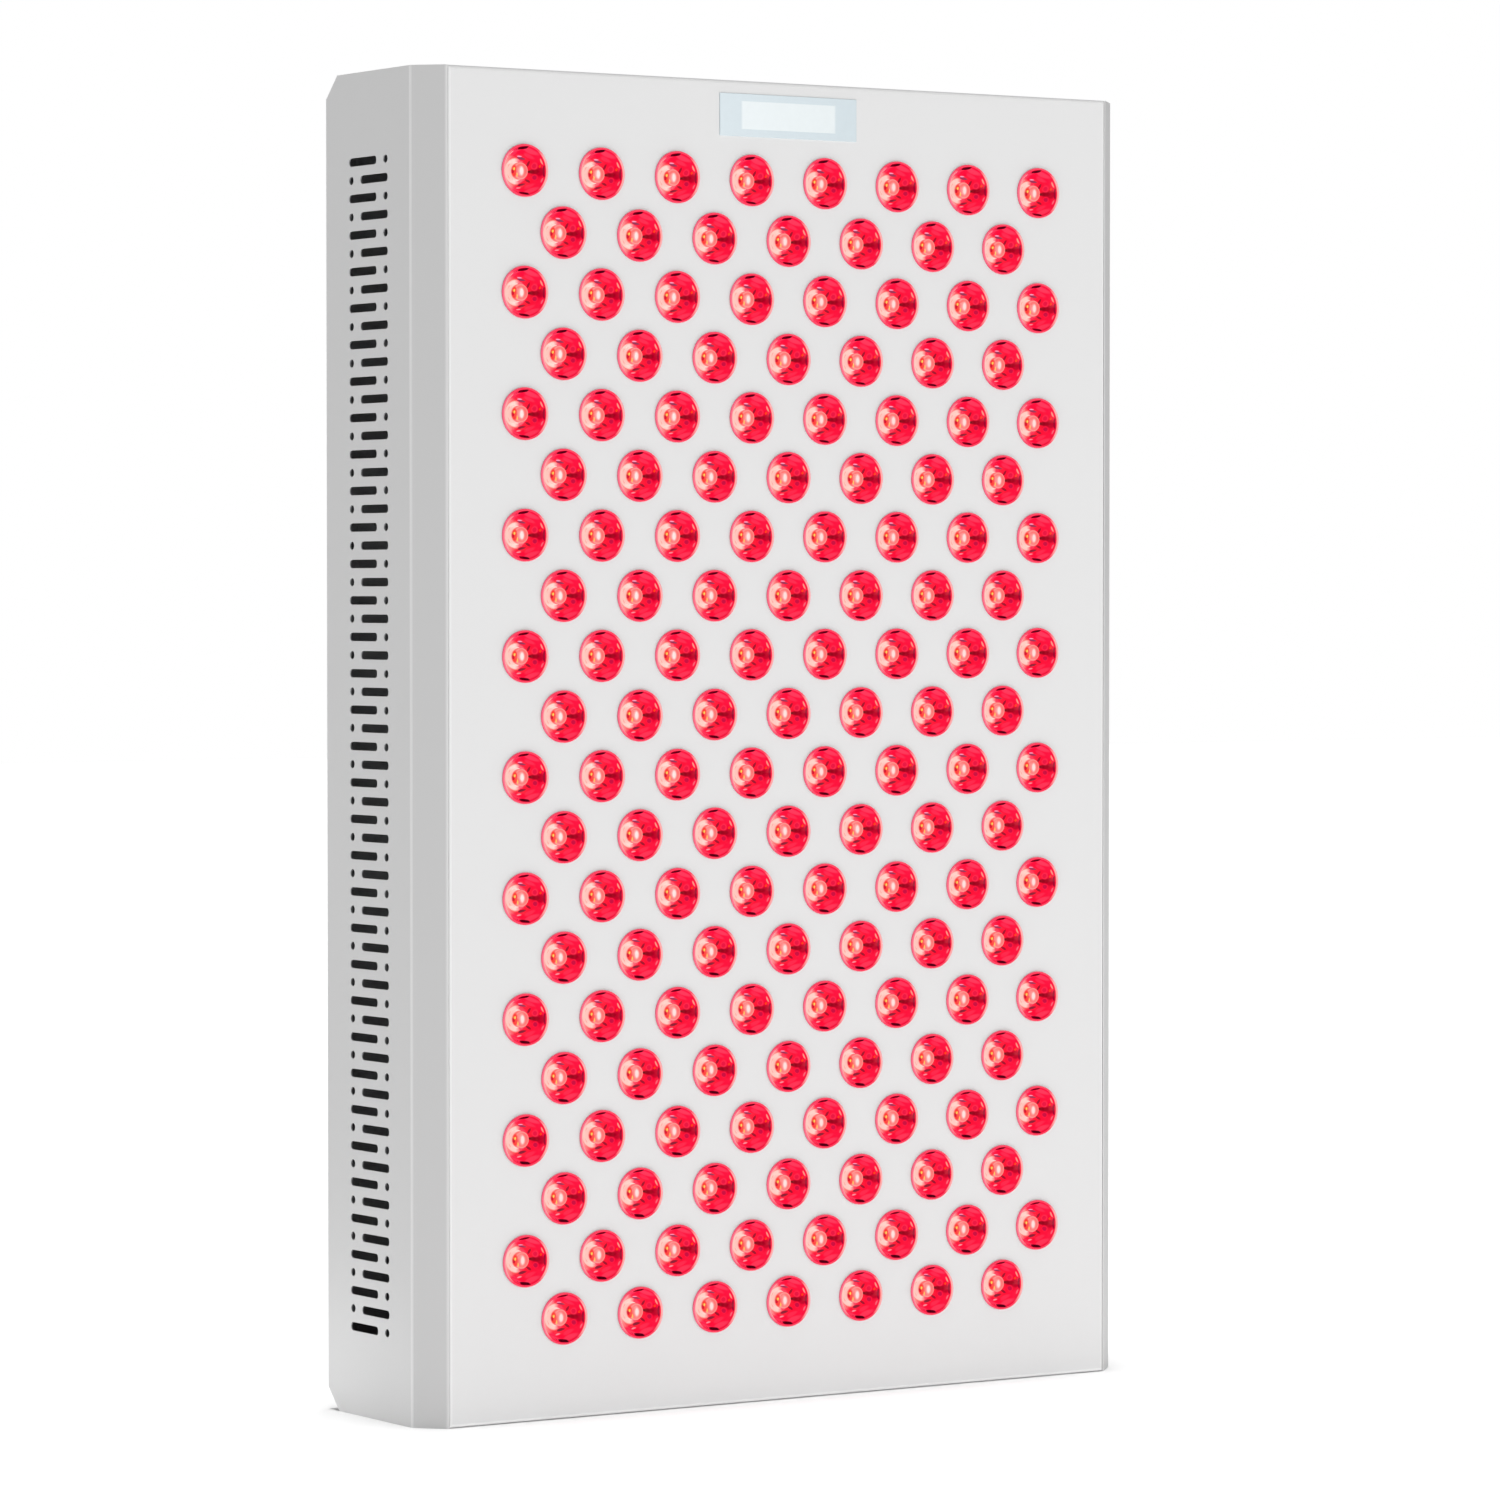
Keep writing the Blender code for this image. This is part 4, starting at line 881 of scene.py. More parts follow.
def patch(tree, below, place, centre, size, turn, square, colour):
    """Lays one soft-edged patch of colour, oval or squarish, over the colour below it."""
    lens = LENS_DIAMETER / 2 / MM
    lie = {
        "Vector": place,
        "Location": (centre[0] / lens, centre[1] / lens, 0),
        "Rotation": (0, 0, math.radians(turn)),
        "Scale": (size[0] / lens, size[1] / lens, 1),
    }
    local = add(tree, "Mapping", lie, vector_type="TEXTURE").outputs["Vector"]
    if square:
        local = add(tree, "VectorMath", {0: local, 1: local}, operation="MULTIPLY").outputs[0]
    distance = add(tree, "VectorMath", {0: local}, operation="LENGTH").outputs["Value"]
    fade = {"Value": distance, "From Min": PATCH_EDGE[0], "From Max": PATCH_EDGE[1]}
    share = add(tree, "MapRange", fade, interpolation_type="SMOOTHSTEP").outputs["Result"]
    over = add(tree, "Mix", {0: share, 6: below, 7: linear(colour)}, data_type="RGBA")
    return over.outputs[2]


def ring_colours(tree, radius, rings):
    """A colour that runs through named steps from the lens's middle to its edge."""
    ramp = add(tree, "ValToRGB", {"Fac": radius})
    stops = ramp.color_ramp.elements
    while len(stops) < len(rings):
        stops.new(0.5)
    for stop, (position, colour) in zip(stops, rings):
        stop.position = position
        stop.color = linear(colour)
    return ramp.outputs["Color"]


# %% Red acrylic, lit from behind
AT_SIDES = (0.6, 0.85)
AT_RIGHT = (-0.1, 0.35)
RIM_RING = 0.9
FLOOR_RING = (0.332, 0.6)
OUTER_WALL = 0.985
FOOT = (0.9 * MM, 1.2 * MM)
FOOT_COLOUR = "F03A60"
DOME = 0.36
DOME_FADE = (5.9 * MM, 7.0 * MM)
DOME_WALL_COLOUR = "FFD8CE"
SURFACE_SHARE = 0.4
LIGHT_SHARE = 0.68
ACRYLIC_IOR = 1.49


def red_acrylic():
    material, tree, shader = new_material("red_acrylic_lit")
    face = add(tree, "UVMap", uv_map=LENS_MAP).outputs["UV"]
    quarter = add(tree, "VectorMath", {0: face}, operation="ABSOLUTE").outputs["Vector"]
    radius = add(tree, "VectorMath", {0: face}, operation="LENGTH").outputs["Value"]
    place = add(tree, "TexCoord").outputs["Object"]
    depth = add(tree, "SeparateXYZ", {0: place}).outputs["Y"]
    rim = strip_boxes[0][0].y

    def ramp(value, span):
        """A share that rises from 0 to 1 as a value crosses this span."""
        steps = {"Value": value, "From Min": span[0], "From Max": span[1]}
        return add(tree, "MapRange", steps).outputs["Result"]

    def only(share, side, limit):
        """The share where the radius is on this side of a limit, and 0 elsewhere."""
        there = add(tree, "Math", {0: radius, 1: limit}, operation=side).outputs[0]
        return add(tree, "Math", {0: share, 1: there}, operation="MULTIPLY").outputs[0]

    facing = []
    for across, span in ((quarter, AT_SIDES), (face, AT_RIGHT)):
        sideways = add(tree, "SeparateXYZ", {0: across}).outputs["X"]
        share = add(tree, "Math", {0: sideways, 1: radius}, operation="DIVIDE").outputs[0]
        facing.append(ramp(share, span))
    # Where the painted shade on the floor and the painted highlight on the rim lie.
    right_floor_shade = only(facing[1], "GREATER_THAN", FLOOR_RING[0])
    right_floor_shade = only(right_floor_shade, "LESS_THAN", FLOOR_RING[1])
    rim_highlight = only(facing[0], "GREATER_THAN", RIM_RING)
    foot = only(ramp(depth, [rim + d for d in FOOT]), "GREATER_THAN", OUTER_WALL)
    colour = ring_colours(tree, radius, FROM_MIDDLE)
    for share, over in (
        (right_floor_shade, ring_colours(tree, radius, RIGHT_FLOOR_SHADE)),
        (rim_highlight, ring_colours(tree, radius, RIM_HIGHLIGHT_RINGS)),
        (foot, linear(FOOT_COLOUR)),
    ):
        colour = add(tree, "Mix", {0: share, 6: colour, 7: over}, data_type="RGBA").outputs[2]
    # Lays the patches of painted light and shade, and the chip and its glow, over the colour.
    for _, *look in MIRRORED_PATCHES:
        colour = patch(tree, colour, quarter, *look)
    for _, *look in SINGLE_PATCHES:
        colour = patch(tree, colour, face, *look)
    dome_wall = only(ramp(depth, [rim + d for d in DOME_FADE]), "LESS_THAN", DOME)
    parts = {0: dome_wall, 6: colour, 7: linear(DOME_WALL_COLOUR)}
    glow = add(tree, "Mix", parts, data_type="RGBA").outputs[2]
    parts = {0: glow, 1: [SURFACE_SHARE] * 3}
    surface = add(tree, "VectorMath", parts, operation="MULTIPLY").outputs["Vector"]
    fill(shader, {"Base Color": surface, "Emission Color": glow, "Roughness": 0.1})
    fill(shader, {"Emission Strength": LIGHT_SHARE, "Specular IOR Level": 0.22})
    fill(shader, {"IOR": ACRYLIC_IOR})
    return material


RED_ACRYLIC = red_acrylic()
for strip in strips:
    strip.data.materials.append(RED_ACRYLIC)
print("red acrylic:", len(RED_ACRYLIC.node_tree.nodes), "nodes")

# %% [markdown]
# ## Display window
#
# A thin hard cover stuck on the plate over its opening, with a paler screen area in it.

# %% Display window
WINDOW_SHEET = 1 * MM
WINDOW_PROUD = 0.45 * MM
WINDOW_CORNER = 0.3 * MM
WINDOW_EDGE = 0.15 * MM
SCREEN_AREA = (50 * MM, 12.4 * MM)
SCREEN_EDGE = (1.02, 0.98)
HAZE_SPACING = 3 * MM
window_size = size_xz(*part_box("display_window"))
window_outline = rounded(*window_size, WINDOW_CORNER, window_mid)
window_mesh = cut_sheet(window_outline, [], WINDOW_SHEET, WINDOW_EDGE)
upright(window_mesh, FRONT - WINDOW_PROUD + WINDOW_SHEET / 2)


def display_cover():
    material, tree, shader = new_material("hard_coated_polycarbonate")
    place = add(tree, "TexCoord").outputs["Object"]
    screen = {
        "Vector": place,
        "Location": (window_mid[0], 0, window_mid[1]),
        "Scale": (SCREEN_AREA[0] / 2, 1, SCREEN_AREA[1] / 2),
    }
    local = add(tree, "Mapping", screen, vector_type="TEXTURE").outputs["Vector"]
    parts = add(tree, "SeparateXYZ", {0: local})
    away = [
        add(tree, "Math", {0: parts.outputs[axis]}, operation="ABSOLUTE").outputs[0]
        for axis in ("X", "Z")
    ]
    furthest = add(tree, "Math", {0: away[0], 1: away[1]}, operation="MAXIMUM").outputs[0]
    fade = {"Value": furthest, "From Min": SCREEN_EDGE[0], "From Max": SCREEN_EDGE[1]}
    inside = add(tree, "MapRange", fade).outputs["Result"]
    haze = add(tree, "TexNoise", {"Vector": place, "Scale": 1 / HAZE_SPACING}).outputs["Fac"]
    level = add(tree, "MapRange", {"Value": haze, "To Min": 0.96, "To Max": 1.0})
    parts = {0: inside, 6: linear("D3E0E6"), 7: linear("EAF2F4")}
    colour = add(tree, "Mix", parts, data_type="RGBA").outputs[2]
    parts = {0: colour, "Scale": level.outputs["Result"]}
    shaded = add(tree, "VectorMath", parts, operation="SCALE").outputs["Vector"]
    fill(shader, {"Base Color": shaded, "Roughness": 0.22, "IOR": 1.58})
    return material


display_window = piece("display_cover", window_mesh, display_cover(), nodes=["display_window"])

# %% [markdown]
# ## Plain finishes for moulded, plated and drawn pieces
#
# The other finishes differ in colour, gloss and grain, not in kind: a fine grain at the real
# spacing changes the colour and roughness a little and raises a bump. For drawn wire and
# extrusions the grain is stretched along the way the metal was drawn.


# %% A grained finish
GRAIN_ROUGHNESS = 0.06
GRAIN_STRENGTH = 0.5
DRAWN = (1, 1, 40)


def grained(name, dark, light, spacing, roughness, bump=0.0, metallic=0.0, stretch=(1, 1, 1)):
    material, tree, shader = new_material(name)
    place = add(tree, "TexCoord").outputs["Object"]
    scaled = add(tree, "Mapping", {"Vector": place, "Scale": [1 / (spacing * k) for k in stretch]})
    parts = {"Vector": scaled.outputs["Vector"], "Scale": 1.0, "Detail": 3.0}
    grain = add(tree, "TexNoise", parts).outputs["Fac"]
    colour = add(tree, "Mix", {0: grain, 6: linear(dark), 7: linear(light)}, data_type="RGBA")
    low, high = roughness - GRAIN_ROUGHNESS, roughness + GRAIN_ROUGHNESS
    rough = add(tree, "MapRange", {"Value": grain, "To Min": low, "To Max": high})
    fill(shader, {"Base Color": colour.outputs[2], "Roughness": rough.outputs["Result"]})
    fill(shader, {"Metallic": metallic})
    if bump:
        relief = add(tree, "Bump", {"Height": grain, "Strength": GRAIN_STRENGTH, "Distance": bump})
        fill(shader, {"Normal": relief.outputs["Normal"]})
    return material


# %% The finishes, each with its grain in millimetres
BLACK_ABS = grained("spark_grained_black_abs", "131314", "232325", 0.4 * MM, 0.5, 0.02 * MM)
BLACK_PBT = grained("glass_filled_black_pbt", "17181A", "27282A", 0.7 * MM, 0.42, 0.01 * MM)
GLOSSY_NYLON = grained("polished_black_nylon", "0E0E0F", "161617", 2 * MM, 0.22)
WIRE = grained("nickel_plated_wire", "B9B7B1", "D9D7D0", 0.6 * MM, 0.2, metallic=1.0)
ZINC = grained("bright_zinc_plated_steel", "A9AEB3", "CDD0D2", 2.5 * MM, 0.3, metallic=1.0)
BLACK_SINK = grained(
    "black_anodised_extrusion", "19191B", "2A2A2D", 0.3 * MM, 0.45, 0.02 * MM, stretch=DRAWN
)
ALUMINIUM = grained(
    "extruded_aluminium", "A4A7AA", "C6C8CA", 0.3 * MM, 0.36, metallic=1.0, stretch=DRAWN
)
CONTACT = grained("nickel_plated_brass", "B8AE92", "D6CDB4", 0.5 * MM, 0.25, metallic=1.0)
WHITE_BOARD = grained("white_solder_mask", "E4E4DF", "F4F4F0", 1.2 * MM, 0.5)
GREEN_BOARD = grained("green_solder_mask", "14522F", "1E6B3D", 1.2 * MM, 0.35)
DARK_GLASS = grained("smoked_display_glass", "0B0D10", "15181C", 4 * MM, 0.12)
GREY_PVC = grained("grey_pvc_sleeve", "4A4D51", "5C6065", 0.8 * MM, 0.5, 0.02 * MM)
WHITE_PVC = grained("white_pvc_sleeve", "C9CACB", "DCDDDE", 0.8 * MM, 0.5, 0.02 * MM)
WHITE_FILL = grained("white_filled_moulding", "DADAD8", "F0F0EE", 0.3 * MM, 0.6)
# Painted shade: a grey for the faces at the far end of the vents and inside the box.
VENT_SHADE_GREY = grained("grey_painted_vent_shade", "9A9C9E", "A8AAAC", 0.5 * MM, 0.6)
print("finishes:", len(bpy.data.materials))

# %% [markdown]
# ## The inside of the box
#
# What faces into the box, and the far end of each punched vent, gets a grey finish as painted
# shade, so the vents look into a dark box.

# %% Painted shade where the vents look into the box
VENTS_BEGIN = FRONT + 25 * MM
FACES_FORWARD = -0.3
for sheet in (left_side, right_side, back_cover):
    sheet.data.materials.append(VENT_SHADE_GREY)
    forward = [face for face in sheet.data.polygons if face.normal.y < FACES_FORWARD]
    painted_shade_faces = [face for face in forward if face.center.y > VENTS_BEGIN]
    for face in painted_shade_faces:
        face.material_index = 1
    print(sheet.name, len(painted_shade_faces), "faces in primer")

# %% [markdown]
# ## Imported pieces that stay
#
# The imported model's boards, sinks, rails, drivers, pins and leads have the right shapes, so
# they keep them and get a finish. A bevel softens their edges, as a real saw cut or die leaves
# them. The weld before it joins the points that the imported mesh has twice.

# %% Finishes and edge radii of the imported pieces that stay
# A name stands for its numbered pieces too, and a driver's name for its lead.
WELD = 0.01 * MM
CARRIED = {
    "lamp_board": (WHITE_BOARD, 0),
    "heat_sink": (BLACK_SINK, 0.25 * MM),
    "left_mount_rail": (ZINC, 0.3 * MM),
    "right_mount_rail": (ZINC, 0.3 * MM),
    "display_module": (DARK_GLASS, 0.2 * MM),
    "control_board": (GREEN_BOARD, 0),
    "left_driver": (ALUMINIUM, 0.8 * MM),
    "right_driver": (ALUMINIUM, 0.8 * MM),
    "inlet_pin": (CONTACT, 0.4 * MM),
    "inlet_lead": (GREY_PVC, 0),
    "display_lead": (WHITE_PVC, 0),
}
finished = 0
for name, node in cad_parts.items():
    kinds = [kind for kind in CARRIED if kind in (name, name.rsplit("_", 1)[0])]
    if not kinds:
        continue
    finished += 1
    finish, edge = CARRIED[kinds[0]]
    for slot in node.material_slots:
        slot.material = finish
    if edge:
        node.modifiers.new("weld", "WELD").merge_threshold = WELD
        soften = node.modifiers.new("soft_edges", "BEVEL")
        soften.width = edge
        soften.segments = 2
        soften.limit_method = "ANGLE"
print("packed pieces with a finish:", finished)

# %% [markdown]
# ## Screws
#
# Six pan-head screws hold the back cover, and four hold each fan and its guard. The head is
# turned, with a low dome, and a cross recess is cut into it by a boolean, as the tool that
# forges it would press it in.

# %% A pan-head screw
HEAD_STEPS = 6
HEAD_FLANK = 0.45
CROSS_ARM = (0.62, 0.13)
CROSS_TAPER = (0.55, 0.8)
CROSS_FLOOR = 0.35
ABOVE_HEAD = 1.2


def pan_head(radius, height):
    """A screw head that stands on y = 0 and points to +Y, with a cross recess."""
    flank = height * HEAD_FLANK
    profile = [(0, 0), (radius, 0), (radius, flank)]
    for step in range(1, HEAD_STEPS + 1):
        lift = math.pi / 2 * step / HEAD_STEPS
        profile.append((radius * math.cos(lift), flank + (height - flank) * math.sin(lift)))
    head = bpy.data.objects.new("head", turned(profile, (0, 0, 0), 32))
    cross = bmesh.new()
    for across, upward in (CROSS_ARM, CROSS_ARM[::-1]):
        low = (across * CROSS_TAPER[0], height * CROSS_FLOOR, upward * CROSS_TAPER[1])
        high = (across, height * ABOVE_HEAD, upward)
        corners = [
            cross.verts.new((sx * x * radius, y, sz * z * radius))
            for x, y, z in (low, high)
            for sx, sz in SQUARE
        ]
        bmesh.ops.convex_hull(cross, input=corners)
    recess = bpy.data.objects.new("recess", closed(cross))
    cut = head.modifiers.new("recess", "BOOLEAN")
    cut.object, cut.operation, cut.solver, cut.use_self = recess, "DIFFERENCE", "EXACT", True
    return worked_out(head, recess)


def placed(mesh, places):
    """Copies of a mesh at several places, as one mesh."""
    whole = bmesh.new()
    for place in places:
        before = len(whole.verts)
        whole.from_mesh(mesh)
        whole.verts.ensure_lookup_table()
        bmesh.ops.translate(whole, verts=whole.verts[before:], vec=place)
    result = bpy.data.meshes.new("copies")
    whole.to_mesh(result)
    whole.free()
    return result


# %% Cover screws
COVER_HEAD = pan_head(3.5 * MM, 2.2 * MM)
for number, (x, z) in enumerate(screw_places, 1):
    screw = piece(
        f"pan_head_screw_{number}",
        placed(COVER_HEAD, [(x, BACK, z)]),
        ZINC,
        nodes=[f"cover_screw_{number}"],
    )

# %% [markdown]
# ## Fans
#
# Three axial fans. Each frame is one moulding: two square flanges with round corners, a round
# duct between them, and four struts that carry the motor plate. Each rotor is a cup with seven
# blades. A blade is a thin twisted sheet: it lies steep at the cup and flat at the tip, and
# sweeps forward, so it is drawn as a grid of points from root to tip and given a thickness.

# %% Fan frame
FAN = 120 * MM
FAN_CORNER = 8 * MM
FAN_EDGE = 0.5 * MM
FAN_FLANGE = 4 * MM
BORE = 116 * MM
DUCT_WALL = 1.6 * MM
DUCT_EDGE = 0.1 * MM
OVERLAP = 0.2 * MM
FAN_SCREW_HOLE = 4.4 * MM
FAN_SCREWS = [(sx * 52.5 * MM, sz * 52.5 * MM) for sx, sz in SQUARE]
STRUT = (5 * MM, 3 * MM)
STRUT_CORNER = 0.8 * MM
STRUT_INSET = 0.3 * MM
STRUT_REACH = (18.8 * MM, BORE / 2 + DUCT_WALL / 2)
MOTOR = in_mm([
    (0, -3.0),
    (20.4, -3.0),
    (20.8, -2.6),
    (20.8, -0.5),
    (20.3, 0.0),
    (17.6, 0.0),
    (17.2, -0.5),
    (3.4, -0.5),
    (3.2, -0.9),
    (0, -0.9),
])
fan_low, fan_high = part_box("fan_frame_1")
FAN_FRONT, FAN_BACK = fan_low.y, fan_high.y


def strut(angle):
    """A flat bar from the motor plate to the duct, turned about the fan's axis."""
    inner, outer = STRUT_REACH
    outline = rounded(outer - inner, STRUT[0], STRUT_CORNER, ((inner + outer) / 2, 0), 3)
    y = FAN_BACK - STRUT_INSET - STRUT[1] / 2
    bar = upright(cut_sheet(outline, [], STRUT[1], FAN_EDGE), y)
    bar.transform(Matrix.Rotation(angle, 4, "Y"))
    return bar


def fan_frame(name, node, z):
    bore = circle(BORE / 2, (0, 0), 64)
    holes = [bore] + [circle(FAN_SCREW_HOLE / 2, place, 16) for place in FAN_SCREWS]
    outline = rounded(FAN, FAN, FAN_CORNER, (0, 0), 7)
    parts = [
        upright(cut_sheet(outline, holes, FAN_FLANGE, FAN_EDGE), y)
        for y in (FAN_FRONT + FAN_FLANGE / 2, FAN_BACK - FAN_FLANGE / 2)
    ]
    depth = FAN_BACK - FAN_FRONT - 2 * FAN_FLANGE + 2 * OVERLAP
    duct = cut_sheet(circle(BORE / 2 + DUCT_WALL, (0, 0), 64), [bore], depth, DUCT_EDGE)
    parts.append(upright(duct, (FAN_FRONT + FAN_BACK) / 2))
    parts += [strut(quarter * math.pi / 2) for quarter in range(4)]
    parts.append(turned(MOTOR, (0, FAN_BACK, 0), 56))
    mesh = joined(parts)
    mesh.transform(Matrix.Translation((0, 0, z)))
    made = piece(name, mesh, BLACK_PBT, nodes=[node])
    return made


# %% Fan blade: each size in millimetres at the hub, and what it gains by the tip
HUB_RADIUS = 20 * MM
HUB_OVERLAP = 1 * MM
BLADES = 7
BLADE_TIP = 55 * MM
BLADE_GRID = (12, 10)
BLADE_CHORD = (19, 15)
BLADE_DEPTH = (15.5, -5)
BLADE_HALF_THICKNESS = (0.9, -0.3)
BLADE_SWEEP = 0.42
BLADE_CAMBER = 0.16
THINNEST = 0.25
rotor_low, rotor_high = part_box("fan_rotor_1")


def blade(bm, turn_angle):
    """Adds one twisted blade, from inside the hub to the tip."""
    across, out = BLADE_GRID
    root = HUB_RADIUS - HUB_OVERLAP
    layers = []
    for side in (-1, 1):
        layer = []
        for j in range(out + 1):
            share = j / out
            radius = root + (BLADE_TIP - root) * share
            sizes = (BLADE_CHORD, BLADE_DEPTH, BLADE_HALF_THICKNESS)
            chord, depth, thickness = ((hub + gain * share) * MM for hub, gain in sizes)
            row = []
            for i in range(across + 1):
                u = 2 * i / across - 1
                angle = turn_angle + BLADE_SWEEP * share**1.5 + u * chord / 2 / radius
                camber = BLADE_CAMBER * depth * (1 - u * u)
                edge = math.sqrt(max(0.0, 1 - u**6))
                y = (rotor_low.y + rotor_high.y) / 2 - u * depth / 2 + camber
                y += side * thickness * max(edge, THINNEST)
                row.append(bm.verts.new((radius * math.cos(angle), y, radius * math.sin(angle))))
            layer.append(row)
        layers.append(layer)
    back, front = layers
    for j in range(out):
        for i in range(across):
            for layer in layers:
                bm.faces.new([layer[j][i], layer[j][i + 1], layer[j + 1][i + 1], layer[j + 1][i]])
    rim = [(j, 0) for j in range(out)] + [(out, i) for i in range(across)]
    rim += [(j, across) for j in range(out, 0, -1)] + [(0, i) for i in range(across, 0, -1)]
    for (j, i), (k, m) in zip(rim, rim[1:] + rim[:1]):
        bm.faces.new([back[j][i], back[k][m], front[k][m], front[j][i]])


# %% Fan rotors and frames
CUP_DEPTH = (rotor_high.y - rotor_low.y) / MM
CUP = in_mm([
    (0, 0.6),
    (14.0, 0.3),
    (17.5, 0.0),
    (18.8, 0.25),
    (19.6, 0.9),
    (20.0, 2.0),
    (20.0, CUP_DEPTH - 0.2),
    (19.8, CUP_DEPTH),
    (0, CUP_DEPTH),
])


def fan_rotor(name, node, body, z):
    blades = bmesh.new()
    for number in range(BLADES):
        blade(blades, 2 * math.pi * number / BLADES)
    mesh = joined([turned(CUP, (0, rotor_low.y, 0), 56), closed(blades)])
    mesh.transform(Matrix.Translation((0, 0, z)))
    made = piece(name, mesh, BLACK_PBT, body, [node])
    return made


for number, z in enumerate(fan_heights, 1):
    fan_frame(f"fan_moulding_{number}", f"fan_frame_{number}", z)
    fan_rotor(f"fan_blades_{number}", f"fan_rotor_{number}", f"rotor_{number}", z)

# %% [markdown]
# ## Fan guards
#
# A wire finger guard: rings of drawn wire welded onto four legs, which end in eyes round the
# fan screws. A tube swept along each wire's path gives the round section that catches the
# light.

# %% Wire
WIRE_RADIUS = 0.7 * MM
WIRE_SIDES = 10
GUARD_RINGS = (58, 51, 44, 37, 30, 23, 16)
EYE_RADIUS = 3.4 * MM


def wire(bm, points, radius, loop):
    """Sweeps a round section along points that lie in one plane of constant y."""
    count = len(points)
    rings = []
    for i, point in enumerate(points):
        after = points[(i + 1) % count] if loop or i + 1 < count else point
        before = points[i - 1] if loop or i else point
        heading = (Vector(after) - Vector(before)).normalized()
        side = heading.cross(Vector((0, 1, 0))).normalized()
        ring = []
        for k in range(WIRE_SIDES):
            a = 2 * math.pi * k / WIRE_SIDES
            outward = side * math.cos(a) + Vector((0, math.sin(a), 0))
            ring.append(bm.verts.new(Vector(point) + outward * radius))
        rings.append(ring)
    for i in range(count if loop else count - 1):
        ring, after = rings[i], rings[(i + 1) % count]
        for k in range(WIRE_SIDES):
            m = (k + 1) % WIRE_SIDES
            bm.faces.new([ring[k], ring[m], after[m], after[k]])
    if not loop:
        bm.faces.new(rings[0])
        bm.faces.new(rings[-1])


# %% Guards and their screws
GUARD_HUB = 12 * MM
LEG_POINTS = 7
guard_low, guard_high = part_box("fan_guard_1")
LEG_Y = guard_low.y + WIRE_RADIUS
RING_Y = guard_high.y - WIRE_RADIUS
FAN_HEAD = pan_head(3.4 * MM, 2.0 * MM)


def wire_loop(bm, y, radius, centre, points):
    """A closed ring of wire at this y."""
    wire(bm, [(x, y, z) for x, z in circle(radius, centre, points)], WIRE_RADIUS, True)


def leg(corner_x, corner_z, z):
    """The points of a straight wire from the inner ring to one eye."""
    outer = math.hypot(corner_x, corner_z) - EYE_RADIUS
    for k in range(LEG_POINTS):
        along = (GUARD_HUB + (outer - GUARD_HUB) * k / (LEG_POINTS - 1)) * math.sqrt(0.5)
        yield (math.copysign(along, corner_x), LEG_Y, z + math.copysign(along, corner_z))


for number, z in enumerate(fan_heights, 1):
    bm = bmesh.new()
    for radius in GUARD_RINGS:
        wire_loop(bm, RING_Y, radius * MM, (0, z), 64)
    for corner_x, corner_z in FAN_SCREWS:
        wire_loop(bm, LEG_Y, EYE_RADIUS, (corner_x, z + corner_z), 24)
        wire(bm, list(leg(corner_x, corner_z, z)), WIRE_RADIUS, False)
    wire_loop(bm, LEG_Y, GUARD_HUB, (0, z), 40)
    guard = piece(f"wire_guard_{number}", closed(bm), WIRE, nodes=[f"fan_guard_{number}"])
    corners = [(x, LEG_Y + WIRE_RADIUS, z + corner_z) for x, corner_z in FAN_SCREWS]
    heads = piece(f"guard_screws_{number}", placed(FAN_HEAD, corners), ZINC)

# %% [markdown]
# ## Mains inlet and switch
#
# Both are black mouldings that snap or screw into the cover from outside. A flange lies on the
# steel, a shell goes through the cutout, and its floor carries the contacts. The rocker is a
# separate glossy moulding with a dished face, tilted on its pins, with a bar and a ring
# moulded into it and filled white.

# %% Mains inlet
SOCKET = (24 * MM, 16.5 * MM)
SOCKET_CORNER = 4 * MM
SOCKET_DEPTH = 4.5 * MM
FLANGE_CORNER = 5 * MM
FLANGE_EDGE = 0.4 * MM
SHELL = (27.4 * MM, 20 * MM)
SHELL_EDGE = 0.1 * MM
FLOOR_EDGE = 0.3 * MM
SEAT = 0.1 * MM
inlet_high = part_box("inlet_body")[1]
INLET_SCREWS = [(inlet_mid[0] + side * 20 * MM, inlet_mid[1]) for side in (-1, 1)]
INLET_SCREW_HOLE = 3.6 * MM
INLET_HEAD = pan_head(2.8 * MM, 1.6 * MM)


def socket_outline():
    """The inlet's keyed outline, with two cut corners at its top."""
    x, z = inlet_mid
    half, top, corner = SOCKET[0] / 2, SOCKET[1] / 2, SOCKET_CORNER
    keyed = [
        (-half, -top),
        (half, -top),
        (half, top - corner),
        (half - corner, top),
        (corner - half, top),
        (-half, top - corner),
    ]
    return [(x + s, z + t) for s, t in keyed]


def slab(outline, holes, front, back, edge):
    """A flat plate between two depths."""
    return upright(cut_sheet(outline, holes, back - front, edge), (front + back) / 2)


def snap_in(node, corner, edge, shell, opening, holes, depth):
    """A moulding with a flange on the cover, a shell through its cutout, and a floor."""
    low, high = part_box(node)
    flange = rounded(*size_xz(low, high), corner, middle_xz(low, high))
    floor_y = low.y + depth
    return joined([
        slab(flange, [opening, *holes], BACK + SEAT, high.y, edge),
        slab(shell, [opening], floor_y - OVERLAP, BACK + SEAT + OVERLAP, SHELL_EDGE),
        slab(shell, [], low.y, floor_y, FLOOR_EDGE),
    ])


